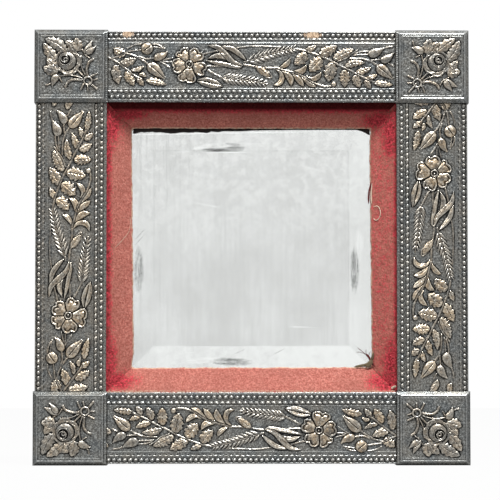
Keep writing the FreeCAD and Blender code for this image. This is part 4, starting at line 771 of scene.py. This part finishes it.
def velvet_piece(side):
    """Worn velvet over one slip, with uneven nap, a wavering sight edge and a mitre at both ends."""
    depths, heights, seen = velvet_section()
    rng = np.random.default_rng(sum(map(ord, side)))
    noise = rng.normal(size=(SLIP_STATIONS, len(depths)))
    lift = scaled(blurred(noise, 1.4), NAP) + scaled(blurred(noise, 14), NAP_WAVE)
    lift[:, seen:] *= 0.4
    lift[:, seen + 3:] = 0
    lift = np.clip(lift, -0.3 * MM, 0.25 * MM)
    knee, sight = RAIL_LOW.z - KNEE_SETBACK, VELVET_LOW.z
    near_sight = clamp(1 - (heights - sight) / (8 * MM)) * (heights < knee)
    radius = np.maximum(OPENING_ROUND * near_sight, 1e-6)
    share = np.linspace(-1, 1, SLIP_STATIONS)[:, None]
    x = share * (heights - radius * (1 - math.sqrt(0.5)))
    past = np.clip(np.abs(x) - (heights - radius), 0, radius)
    high = heights - (radius - np.sqrt(radius ** 2 - past ** 2))
    waver = scaled(blurred(rng.normal(size=(SLIP_STATIONS, 1)), 3), WAVER) * clamp(8 * (1 - np.abs(share)))
    high = high + np.clip(waver, -0.3 * MM, 0.3 * MM) * clamp(near_sight * 3 - 2)
    at_first, at_last = LEAN[side]
    along = (share + 1) / 2 if side in ("top", "right") else (1 - share) / 2
    lean = (at_first + (at_last - at_first) * along) * clamp(9 * (1 - np.abs(share)))
    high = high - lean * clamp(1.2 * near_sight)
    points = turned(np.stack([x, -(depths + lift), high], -1), SIDES[side])
    flat, reach = flat_reach(depths, heights)
    obj = swept(f"velvet_{side}", points, flat)
    from_sight = np.broadcast_to((heights - sight) / (knee - sight), x.shape)
    start, dark = PILE_START[side]
    pile = np.clip((from_sight - start) / 0.12, -1.2, 1)
    px = SLOPE_MIDDLE_PX[0] + points[..., 0] / SLOPE_PIXEL
    py = SLOPE_MIDDLE_PX[1] - points[..., 2] / SLOPE_PIXEL
    for middle, level, half_long, half_high in PILE_PX:
        away = np.hypot((px - middle) / half_long, (py - level) / half_high)
        pile = np.maximum(pile, np.clip(1.6 * (1 - away), -1.2, 1))
    # painted shade with some grime: the outer part of a slip goes dark, most on the top one, under the rail's
    # shadow
    soot = dark * clamp((from_sight - start - 0.04) / 0.16)
    if side == "right":
        pile, soot = np.maximum(pile, -0.12), np.maximum(soot, 0.05)
    # the top slip faces down, away from the light: painted shade darkens most of it
    if side == "top":
        soot = np.maximum(soot, 0.19 * clamp((from_sight - 0.2) / 0.3))
    hem = (side == "bottom") * clamp((from_sight - 0.93) / 0.05)
    give(obj, slope=clamp(from_sight, 0, 1.4), pile=pile, soot=soot, hem=hem)
    return obj, float(reach[seen + 2])


def thread_piece(side):
    """Loose threads lying on one side's velvet."""
    sight, knee = VELVET_LOW.z, RAIL_LOW.z
    turn = np.linspace(0, 2 * np.pi, THREAD_SIDES, endpoint=False)[None, :, None]
    points, quads, caps, reds, count = [], [], [], [], 0
    for route, millimetres, red in THREADS_PX[side]:
        thick = millimetres * MM
        line = smooth_line(route, 9)
        x = (line[:, 0] - SLOPE_MIDDLE_PX[0]) * SLOPE_PIXEL
        z = (SLOPE_MIDDLE_PX[1] - line[:, 1]) * SLOPE_PIXEL
        up = clamp((np.maximum(np.abs(x), np.abs(z)) - sight) / (knee - sight))
        depth = SIGHT_FRONT + up * (VELVET_FRONT - SIGHT_FRONT) + THREAD_CLEAR + thick / 2
        ahead = np.gradient(np.stack([x, z], -1), axis=0)
        ahead /= np.hypot(*ahead.T)[:, None]
        place = np.arange(len(x))
        thin = thick / 2 * clamp(np.minimum(place, place[::-1]) / 5 + 0.3)
        out = np.stack([-ahead[:, 1], np.zeros(len(x)), ahead[:, 0]], -1)[:, None, :]
        flat = min(THREAD_FLAT / thick, 0.5) * 2
        ring = np.cos(turn) * out + flat * np.sin(turn) * np.array([0, 1, 0])
        points.append((np.stack([x, -depth, z], -1)[:, None, :] + ring * thin[:, None, None]).reshape(-1, 3))
        faces, ends = ring_faces(len(x), turn.size)
        quads.append(faces + count)
        caps.append(ends + count)
        reds.append(np.full(len(points[-1]), red))
        count += len(points[-1])
    points = np.concatenate(points)
    obj = make_mesh(f"loose_threads_{side}", points, [np.concatenate(quads), np.concatenate(caps)])
    give(obj, red=np.concatenate(reds))
    unwrap(obj, points[:, 0] / 0.4 + 0.5, points[:, 2] / 0.4 + 0.5)
    return obj


def gap_piece():
    """Dark ragged strip between the top slip and the glass: a sheet put there as painted shadow."""
    place = np.linspace(0, 1, GAP_STATIONS)
    line = [np.interp(place, np.linspace(0, 1, len(GAP_PX)), spots) for spots in GAP_PX.T]
    x = (line[0] - SLOPE_MIDDLE_PX[0]) * SLOPE_PIXEL
    step = np.arange(len(x))
    low = (SLOPE_MIDDLE_PX[1] - line[1]) * SLOPE_PIXEL + 0.8 * MM
    low += 0.22 * MM * np.sin(step * 0.9) * clamp(1.2 - step / 150, 0.15)
    high = np.full_like(low, VELVET_LOW.z + 1.2 * MM)
    slope = (-GLASS_LOW.y - (-GLASS_HIGH.y + GLASS_EDGE)) / GLASS_BEVEL
    rings = []
    for level, ahead in ((high, SHADOW_STRIP_FRONT), (low, SHADOW_STRIP_FRONT), (low, SHADOW_STRIP_BACK), (high, SHADOW_STRIP_BACK)):
        depth = -GLASS_LOW.y - slope * (level - GLASS_HIGH.x + GLASS_BEVEL) + ahead
        rings.append(np.stack([x, -depth, level], -1))
    return swept("painted_shadow_strip_top", np.stack(rings, 1), [0, 0.3, 0.4, 0.7], smooth=False)


def glass_piece():
    """Bevelled glass, a hair in front of its silvering."""
    half, back = GLASS_HIGH.x, -GLASS_HIGH.y + GLASS_GAP
    points = []
    for reach, depth in ((half, back), (half, back + GLASS_EDGE), (half - GLASS_BEVEL, -GLASS_LOW.y)):
        points += [(x * reach, -depth, z * reach) for x, z in ((-1, -1), (1, -1), (1, 1), (-1, 1))]
    quads = [(0, 3, 2, 1), (8, 9, 10, 11)]
    for row in (0, 4):
        quads += [(row + one, row + (one + 1) % 4, row + 4 + (one + 1) % 4, row + 4 + one) for one in range(4)]
    return make_mesh("glass_bevelled", points, [np.array(quads)], smooth=False)


class Nodes:
    """Short way to write a material's nodes."""

    def __init__(self, name=None, tree=None):
        self.tree = tree
        if name:
            self.material = bpy.data.materials.new(name)
            self.material.use_nodes = True
            self.tree = self.material.node_tree
            self.shader = self.tree.nodes["Principled BSDF"]
            self.place = self.add("ShaderNodeTexCoord").outputs["Object"]

    def add(self, kind, **inputs):
        """Node with some inputs set or linked."""
        node = self.tree.nodes.new(kind)
        for name, value in inputs.items():
            self.put(node.inputs[name.replace("_", " ")], value)
        return node

    def put(self, socket, value):
        """Link an output to a socket, or set a plain value on it."""
        if isinstance(value, bpy.types.NodeSocket):
            self.tree.links.new(value, socket)
        elif isinstance(value, tuple) and len(value) == 3 and socket.type == "RGBA":
            socket.default_value = (*value, 1)
        else:
            socket.default_value = value

    def set(self, **inputs):
        """Set or link inputs of the material's shader."""
        for name, value in inputs.items():
            self.put(self.shader.inputs[name.replace("_", " ")], value)
        return self.material

    def field(self, name):
        """Number stored on the vertices."""
        node = self.add("ShaderNodeAttribute")
        node.attribute_name = name
        return node.outputs["Fac"]

    def stretched(self, *scale):
        """Object coordinates scaled along each axis."""
        node = self.add("ShaderNodeMapping", Vector=self.place)
        node.inputs["Scale"].default_value = scale
        return node.outputs["Vector"]

    def noise(self, scale, detail=4, roughness=0.55, vector=None):
        """Cloudy noise between 0 and 1."""
        return self.add("ShaderNodeTexNoise", Vector=vector or self.place, Scale=scale, Detail=detail,
                        Roughness=roughness).outputs["Fac"]

    def remap(self, value, low, high, to_low=0.0, to_high=1.0):
        """Value spread from one range to another and kept inside it."""
        return self.add("ShaderNodeMapRange", Value=value, From_Min=low, From_Max=high, To_Min=to_low,
                        To_Max=to_high).outputs["Result"]

    def math(self, operation, first, second=0.0):
        """Two numbers put together."""
        node = self.tree.nodes.new("ShaderNodeMath")
        node.operation = operation
        self.put(node.inputs[0], first)
        self.put(node.inputs[1], second)
        return node.outputs[0]

    times = partialmethod(math, "MULTIPLY")
    plus = partialmethod(math, "ADD")
    minus = partialmethod(math, "SUBTRACT")
    larger = partialmethod(math, "MAXIMUM")
    absolute = partialmethod(math, "ABSOLUTE")

    def mix(self, share, first, second):
        """Two colours mixed by a share."""
        node = self.tree.nodes.new("ShaderNodeMix")
        node.data_type = "RGBA"
        node.clamp_factor = True
        self.put(node.inputs["Factor"], share)
        for socket, value in zip([one for one in node.inputs if one.type == "RGBA"], (first, second)):
            self.put(socket, value)
        return next(one for one in node.outputs if one.type == "RGBA")

    def tint(self, under, value, low, high, most, colour):
        """Colour laid over another one, up to the given share, where a value goes from low to high."""
        return self.mix(self.remap(value, low, high, 0, most), under, colour)

    def bump(self, height, distance, strength):
        """Bump on the shader's normal."""
        node = self.add("ShaderNodeBump", Height=height, Distance=distance, Strength=strength)
        self.set(Normal=node.outputs[0])


def stamped_metal():
    """Tarnished sheet: patina and painted shade near black in the hollows, rubbed metal and painted highlights
    silvery on crests, and coppery ornament.
    """
    n = Nodes("stamped_metal")
    crest_highlight_and_wear, hollow_shade_and_patina, tone, chip, face = (n.field(name) for name in ("crest_highlight_and_wear", "hollow_shade_and_patina", "tone", "chip", "face"))
    cloud = n.noise(60, 5)
    grain = n.noise(760, 3, 0.65)
    patch = n.noise(230, 4, 0.65)
    ground = n.tint((0.180, 0.196, 0.200), cloud, 0.35, 0.65, 1, (0.255, 0.243, 0.215))
    ground = n.mix(n.times(face, n.remap(grain, 0.50, 0.38, 0, 0.6)), ground, (0.045, 0.046, 0.048))
    ground = n.mix(n.times(face, n.remap(grain, 0.52, 0.64, 0, 0.55)), ground, (0.66, 0.68, 0.66))
    ground = n.tint(ground, face, 1, 0, 0.7, (0.10, 0.10, 0.095))
    copper = n.tint((0.17, 0.125, 0.085), patch, 0.40, 0.60, 1, (0.60, 0.45, 0.29))
    copper = n.tint(copper, n.noise(400, 4, 0.65), 0.50, 0.62, 0.9, (0.96, 0.86, 0.70))
    copper = n.tint(copper, grain, 0.50, 0.36, 0.8, (0.06, 0.045, 0.032))
    leaf = n.times(tone, n.remap(patch, 0.25, 0.55, 0.5, 1))
    # worn: rubbed metal and painted highlight together, laid silvery on the crests
    worn = n.times(crest_highlight_and_wear, n.remap(cloud, 0.3, 0.6, 0.45, 1))
    bright = n.mix(leaf, (0.66, 0.68, 0.67), (0.90, 0.80, 0.64))
    colour = n.mix(n.times(worn, 0.7), n.mix(leaf, ground, copper), bright)
    # near black in the hollows: patina with painted shade
    colour = n.tint(colour, hollow_shade_and_patina, 0.14, 0.66, 0.96, (0.005, 0.005, 0.006))
    torn = n.tint((0.16, 0.075, 0.04), n.noise(520, 3, 0.7), 0.36, 0.56, 1, (0.72, 0.54, 0.37))
    rough = n.remap(n.plus(n.noise(1100, 3), n.times(worn, -0.3)), 0.2, 0.7, 0.18, 0.42)
    pitted = n.plus(n.noise(1500, 2), n.times(n.noise(420, 3), 1.5))
    smooth = n.remap(n.larger(tone, n.times(crest_highlight_and_wear, 3.0)), 0, 0.8, 0.75, 0.2)
    n.bump(n.times(n.minus(pitted, 1.25), smooth), 0.00018, 0.7)
    return n.set(Base_Color=n.mix(chip, colour, torn), Metallic=n.remap(chip, 0, 1, 0.86, 0),
                 Roughness=n.larger(rough, n.times(chip, 0.8)))


def velvet_cloth():
    """Velvet with its nap worn off on the slope and left crimson along the outer edge and at the corners,
    darkened in places by painted shade and grime.
    """
    n = Nodes("velvet")
    slope, pile, soot, hem = (n.field(name) for name in ("slope", "pile", "soot", "hem"))
    speck = n.minus(n.noise(560, 4, 0.75), 0.5)
    rough = n.plus(n.times(n.minus(n.noise(160, 6, 0.75), 0.5), 3.0), n.times(speck, 5.0))
    fine = n.noise(760, 4, 0.75)
    pile = n.remap(n.plus(pile, rough), -0.35, 0.75, 0, 0.95)
    worn = n.tint((0.37, 0.098, 0.075), fine, 0.35, 0.65, 1, (0.72, 0.27, 0.215))
    worn = n.tint(worn, speck, 0.02, 0.13, 0.4, (0.88, 0.44, 0.36))
    worn = n.tint(worn, speck, -0.02, -0.13, 0.5, (0.27, 0.055, 0.042))
    worn = n.tint(worn, n.noise(45, 4), 0.4, 0.65, 0.35, (0.36, 0.13, 0.10))
    crimson = n.tint((0.13, 0.002, 0.008), speck, -0.09, 0.09, 1, (0.74, 0.075, 0.10))
    # painted shade and grime darken the cloth towards black
    colour = n.mix(n.plus(soot, n.times(speck, soot)), n.mix(pile, worn, crimson), (0.034, 0.003, 0.003))
    edge = n.times(n.remap(slope, 0.06, 0.01), n.remap(n.noise(500, 4), 0.38, 0.56))
    thread = n.times(hem, n.remap(n.noise(620, 3, 0.7), 0.44, 0.54))
    n.bump(n.plus(fine, n.times(n.noise(2600, 2), 0.5)), 0.0005, 0.9)
    return n.set(Base_Color=n.mix(n.larger(edge, thread), colour, (0.74, 0.58, 0.42)), Roughness=0.9,
                 Sheen_Weight=0.06, Sheen_Roughness=0.5, Sheen_Tint=(0.9, 0.45, 0.42), Specular_IOR_Level=0.06)


def loose_thread():
    """Frayed thread, from cream to dark red, and dark olive strands."""
    n = Nodes("loose_thread")
    red = n.field("red")
    dyed = n.mix(red, n.mix(n.noise(1500, 3), (0.62, 0.46, 0.33), (0.85, 0.72, 0.58)), (0.10, 0.008, 0.008))
    return n.set(Base_Color=n.tint(dyed, red, 1.4, 1.9, 1, (0.15, 0.115, 0.065)), Roughness=0.85)


def painted_shadow_black():
    """Near black, for the strip that stands in for the shadow above the glass."""
    n = Nodes("painted_shadow_black")
    return n.set(Base_Color=n.mix(n.noise(700, 3), (0.004, 0.003, 0.003), (0.016, 0.008, 0.007)), Roughness=0.9)


def old_silvering():
    """Silvering with clouds, fine specks, upright streaks and its marks; painted reflection makes it lighter at
    the top and, by side, behind the bevel, with a dark bevel line.
    """
    n = Nodes("old_silvering")
    split = n.add("ShaderNodeSeparateXYZ", Vector=n.place).outputs
    x, z = split["X"], split["Z"]
    streak = n.noise(420, 4, 0.7, n.stretched(1, 1, 0.045))
    cloud = n.noise(16, 6, 0.6)
    flaws = n.noise(120, 5, 0.7)
    colour = n.tint((0.80, 0.80, 0.80), streak, 0.3, 0.7, 1, (0.70, 0.705, 0.70))
    colour = n.tint(colour, n.noise(60, 3, 0.6, n.stretched(1, 1, 0.12)), 0.35, 0.65, 0.4, (0.86, 0.86, 0.86))
    colour = n.tint(colour, cloud, 0.38, 0.60, 0.65, (0.66, 0.66, 0.655))
    # painted reflection: lighter patches towards the top
    light = n.times(n.remap(flaws, 0.46, 0.60, 0.1, 0.7), n.remap(z, -0.03, 0.08))
    colour = n.mix(light, colour, (0.90, 0.90, 0.895))
    combed = n.times(n.remap(streak, 0.52, 0.64), n.remap(n.minus(z, x), 0.10, 0.19, 0, 0.5))
    colour = n.mix(combed, colour, (0.55, 0.555, 0.55))
    colour = n.tint(colour, n.noise(1150, 2), 0.70, 0.75, 0.8, (0.98, 0.98, 0.97))
    flat = GLASS_HIGH.x - GLASS_BEVEL
    wide, tall = n.absolute(x), n.absolute(z)
    # painted reflection: the bevel is lighter by side, most at the bottom, then on the right, least on the left
    # and top
    aside, upright = n.remap(x, -MM, MM, 0.12, 0.45), n.remap(z, -MM, MM, 0.95, 0.12)
    which = n.remap(n.minus(tall, wide), -0.3 * MM, 0.3 * MM)
    share = n.plus(aside, n.times(which, n.minus(upright, aside)))
    on_bevel = n.remap(n.larger(wide, tall), flat - 0.5 * MM, flat + 0.5 * MM)
    share = n.times(share, n.remap(n.plus(n.times(x, 2.0), flaws), 0.25, 0.62, 0.45, 1))
    colour = n.mix(n.times(share, on_bevel), colour, (0.93, 0.935, 0.93))
    # painted dark line along the bevel's edge
    line = n.remap(n.absolute(n.minus(n.larger(wide, tall), flat)), 0.7 * MM, 0, 0, 0.3)
    colour = n.mix(n.times(line, n.remap(cloud, 0.4, 0.55)), colour, (0.5, 0.51, 0.505))
    ragged = n.times(n.minus(n.noise(330, 5, 0.65), 0.5), 1.2)
    upright_brush = n.noise(800, 4, 0.7, n.stretched(1, 1, 0.09))
    level_brush = n.noise(800, 4, 0.7, n.stretched(0.09, 1, 1))
    for middle, half_long, half_wide, turn, shade, strength in SILVER_MARKS:
        cos, sin = math.cos(math.radians(turn)), math.sin(math.radians(turn))
        dx, dz = n.minus(x, middle[0][0] * MM), n.minus(z, middle[0][1] * MM)
        half_long, half_wide = half_long * MM, half_wide * MM
        long = n.plus(n.times(dx, cos / half_long), n.times(dz, sin / half_long))
        off = n.plus(n.times(dz, cos / half_wide), n.times(dx, -sin / half_wide))
        reach = n.plus(n.plus(n.times(long, long), n.times(off, off)), ragged)
        brushed = n.remap(upright_brush if turn == 90 else level_brush, 0.36, 0.60, 0.1, 1)
        amount = n.times(n.remap(reach, 1.05, 0.2, 0, strength), brushed)
        colour = n.mix(amount, colour, (shade, min(1.0, 1.03 * shade), shade))
    return n.set(Base_Color=colour, Metallic=1.0, Roughness=n.remap(cloud, 0.3, 0.7, 0.12, 0.25))


def clear_glass():
    """Bevelled glass, faintly green in its thickness."""
    n = Nodes("clear_glass")
    return n.set(Base_Color=(0.985, 0.995, 0.99), Transmission_Weight=1.0, IOR=1.5,
                 Roughness=n.remap(n.noise(700, 3), 0.62, 0.75, 0.0, 0.2))


def aged_wood(name, dark, light, along):
    """Wood with grain along one axis."""
    n = Nodes(name)
    scale = [0.05 if axis == along else 1.0 for axis in "xyz"]
    grain = n.noise(260, 5, 0.6, n.stretched(*scale))
    colour = n.tint(dark, grain, 0.3, 0.7, 1, light)
    rings = n.noise(38, 3, 0.5, n.stretched(*scale))
    colour = n.tint(colour, rings, 0.35, 0.65, 0.55, tuple(0.55 * part for part in dark))
    n.bump(grain, 0.0003, 0.7)
    return n.set(Base_Color=colour, Roughness=n.remap(grain, 0.3, 0.7, 0.62, 0.85))


def kraft_paper():
    """Brown packing paper."""
    n = Nodes("packing_paper")
    fibre = n.noise(420, 4, 0.7)
    n.bump(fibre, 0.0001, 0.5)
    return n.set(Base_Color=n.mix(fibre, (0.34, 0.24, 0.14), (0.48, 0.36, 0.22)), Roughness=0.85)


def old_iron(name, dark, light, rust=(0.20, 0.075, 0.03)):
    """Metal fitting with rust in patches."""
    n = Nodes(name)
    cloud = n.noise(420, 5, 0.6)
    rusty = n.remap(n.noise(300, 4), 0.52, 0.66)
    n.bump(cloud, 0.0001, 0.5)
    return n.set(Base_Color=n.mix(rusty, n.tint(dark, cloud, 0.35, 0.6, 1, light), rust),
                 Metallic=n.remap(rusty, 0, 1, 0.95, 0.2), Roughness=n.remap(cloud, 0.3, 0.7, 0.32, 0.6))


def wire_ring():
    """Hanging ring of round wire, bent to a D."""
    low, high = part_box("hanging_ring")
    bar_high = high.z - RING_WIRE
    half = (high.x - low.x) / 2 - RING_WIRE
    corner = 3 * MM
    bottom = bar_high - corner - 3 * MM
    route = [(0, bar_high), (half - corner, bar_high)]
    for share in (0.33, 0.67):
        swing = math.pi / 2 * (1 - share)
        route.append((half - corner + corner * math.cos(swing), bar_high - corner + corner * math.sin(swing)))
    route += [(half, bar_high - corner), (half, bottom)]
    for index in range(1, 8):
        swing = -math.pi / 2 * index / 8
        route.append((half * math.cos(swing), bottom + half * math.sin(swing)))
    route += [(0, bottom - half)]
    route += [(-x, z) for x, z in route[-2:0:-1]]
    line = smooth_line(route + route[:1], 6)[:-1]
    ahead = np.roll(line, -1, 0) - np.roll(line, 1, 0)
    ahead /= np.hypot(*ahead.T)[:, None]
    turn = np.linspace(0, 2 * np.pi, WIRE_SIDES, endpoint=False)
    none = np.zeros(len(line))
    centre = np.stack([line[:, 0], none - RING_BAR_DEPTH, line[:, 1]], 1)[:, None, :]
    side = np.stack([-ahead[:, 1], none, ahead[:, 0]], 1)[:, None, :]
    around = np.cos(turn)[None, :, None] * side + np.sin(turn)[None, :, None] * np.array([0, 1, 0])
    number = np.arange(len(line) * len(turn)).reshape(len(line), len(turn))
    quads = grid_faces(np.pad(number, (0, 1), "wrap").T)
    obj = make_mesh("hanging_wire_ring", centre + RING_WIRE * around, [quads])
    unwrap(obj, np.arange(len(turn)) / len(turn), np.arange(len(line))[:, None] / len(line))
    return obj


def paint(obj, material):
    """Give a piece or a CAD node one material."""
    obj.data.materials.clear()
    obj.data.materials.append(material)


def dressed(piece, material, node=None, body="frame"):
    """Paint a piece, hide the CAD node it replaces and hang it on the body it rides on."""
    paint(piece, material)
    if node:
        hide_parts(node)
    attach(piece, body)
    return piece


def dress():
    """Replace or repaint every CAD node."""
    metal, strip = stamped_metal(), strip_relief()
    dies = {upright: corner_relief(upright) for upright in (True, False)}
    cloth, thread = velvet_cloth(), loose_thread()
    for side in SIDES:
        dressed(rail_piece(side, strip), metal, f"rail_sheet_{side}")
    for name, turn in CORNERS.items():
        dressed(cap_piece(name, dies[turn in (0, 180)]), metal, f"corner_cap_{name}")
    for side in SIDES:
        piece, width = velvet_piece(side)
        dressed(piece, cloth, f"liner_velvet_{side}")
        extras = [dressed(thread_piece(side), thread)] if side in THREADS_PX else []
        if side == "top":
            # the dark strip above the glass is painted shadow
            extras.append(dressed(gap_piece(), painted_shadow_black()))
    dressed(glass_piece(), clear_glass(), "mirror_glass")
    iron = old_iron("ring_iron", (0.20, 0.19, 0.18), (0.42, 0.40, 0.38))
    dressed(wire_ring(), iron, "hanging_ring", "ring")
    pine = {axis: aged_wood(f"pine_{name}", (0.20, 0.115, 0.055), (0.33, 0.20, 0.105), axis)
            for axis, name in (("x", "across"), ("z", "up"))}
    board = aged_wood("board_wood", (0.30, 0.20, 0.115), (0.46, 0.33, 0.20), "z")
    steel = old_iron("fastener_steel", (0.10, 0.10, 0.10), (0.26, 0.25, 0.24))
    plate = old_iron("hanger_plate_metal", (0.24, 0.21, 0.16), (0.42, 0.36, 0.25), (0.16, 0.08, 0.04))
    coats = {"backboard": board, "frame_tenons": board, "mirror_silvering": old_silvering(),
             "packing_paper": kraft_paper(), "hanger_plate": plate}
    coats |= {name: steel for name in ("backboard_nails", "sheet_pins", "cap_pins", "hanger_screws")}
    for side in SIDES:
        wood = pine["x" if side in ("top", "bottom") else "z"]
        coats |= {f"rail_core_{side}": wood, f"liner_slip_{side}": wood}
    coats |= {f"corner_block_{name}": pine["z"] for name in CORNERS}
    for name, material in coats.items():
        paint(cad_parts[name], material)


# Floor, light and camera.
CAMERA_DISTANCE = 2
CAMERA_AZIMUTH, CAMERA_ELEVATION = math.radians(-0.8), math.radians(-3)   # a little from the left and below
OUTLINE_WIDE_PX = 436           # the frame's width in the photograph
OUTLINE_MIDDLE_PX = (251.8, 246.7)
PHOTO_PX = 500
SENSOR_WIDE = 36                # millimetres, as Blender gives it
OUTLINE_DEPTH = 28.8 * MM       # where a cap's side turns into its bevel
FLOOR_REACH, FLOOR_GRID = 3.0, 25


def linked(name, data):
    """Camera or lamp of the scene."""
    obj = bpy.data.objects.new(name, data)
    bpy.context.collection.objects.link(obj)
    return obj


def camera():
    """Camera at the photograph's framing and viewing angle."""
    pixel = (CAD_BOX[1].x - CAD_BOX[0].x) / OUTLINE_WIDE_PX
    data = bpy.data.cameras.new("camera")
    data.sensor_width = SENSOR_WIDE
    data.lens = SENSOR_WIDE * CAMERA_DISTANCE / (pixel * PHOTO_PX)
    data.clip_start = 0.05
    lens = linked("camera", data)
    lens.rotation_euler = (math.pi / 2 - CAMERA_ELEVATION, 0, CAMERA_AZIMUTH)
    turn = np.array(lens.rotation_euler.to_matrix())
    half = PHOTO_PX / 2
    aside = ((half - OUTLINE_MIDDLE_PX[0]) * pixel, (OUTLINE_MIDDLE_PX[1] - half) * pixel, CAMERA_DISTANCE)
    lens.location = turn @ np.array(aside) + np.array((0, -OUTLINE_DEPTH, 0))
    bpy.context.scene.camera = lens


def lamp(name, place, size, power):
    """Square soft light pointed at the origin."""
    data = bpy.data.lights.new(name, "AREA")
    data.size = size
    data.energy = power
    light = linked(name, data)
    light.location = place
    x, y, z = place
    light.rotation_euler = (math.atan2(math.hypot(x, y), z), 0, math.atan2(-y, -x) - math.pi / 2)


def ray_kinds(n):
    """Whether a ray comes straight or through glass from the camera, and whether it is mirrored."""
    path = n.add("ShaderNodeLightPath").outputs
    return n.larger(path["Is Camera Ray"], path["Is Transmission Ray"]), path["Is Glossy Ray"]


def lights():
    """Soft key from high above in front, and a world that is white where it is seen."""
    lamp("key", (0.26, -0.66, 1.42), 0.42, 33)
    lamp("side", (-0.9, -0.85, 1.15), 0.4, 6)
    world = bpy.data.worlds.new("studio")
    world.use_nodes = True
    bpy.context.scene.world = world
    n = Nodes(tree=world.node_tree)
    clear, glossy = ray_kinds(n)
    seen = n.add("ShaderNodeSeparateXYZ", Vector=n.add("ShaderNodeTexCoord").outputs["Generated"]).outputs
    up = seen["Z"]
    soft = n.remap(up, -0.6, 0.9, 0.03, 0.20)
    bright = n.plus(n.remap(up, -0.45, 0.05, 0.02, 0.46), n.remap(up, 0.05, 0.42, 0, 0.54))
    bright = n.minus(bright, n.remap(up, 0.72, 0.95, 0, 0.12))
    shine = n.times(bright, n.remap(seen["X"], -0.3, -0.8, 1, 0.85))
    strength = n.plus(soft, n.times(glossy, n.minus(shine, soft)))
    background = n.tree.nodes["Background"].inputs
    n.put(background["Strength"], n.larger(strength, clear))
    background["Color"].default_value = (1, 1, 1, 1)


def floor():
    """Pale floor under the frame, white to the camera but for a soft shadow."""
    x, y = np.meshgrid(*[np.linspace(-FLOOR_REACH, FLOOR_REACH, FLOOR_GRID)] * 2)
    points = np.stack([x, y, np.full_like(x, CAD_BOX[0].z - 0.02 * MM)], -1)
    obj = make_mesh("floor", points, [grid_faces(np.arange(x.size).reshape(x.shape).T)])
    n = Nodes("floor_white")
    n.set(Base_Color=(0.42, 0.42, 0.42), Roughness=0.9)
    clear, glossy = ray_kinds(n)
    blend = n.add("ShaderNodeMixShader")
    n.put(blend.inputs[0], n.larger(n.times(clear, 0.97), n.times(glossy, 0.08)))
    n.put(blend.inputs[1], n.shader.outputs[0])
    n.put(blend.inputs[2], n.add("ShaderNodeEmission", Strength=1.0).outputs[0])
    n.put(n.tree.nodes["Material Output"].inputs["Surface"], blend.outputs[0])
    paint(obj, n.material)


bpy.context.scene.view_settings.view_transform = "Standard"
dress()
floor()
lights()
camera()
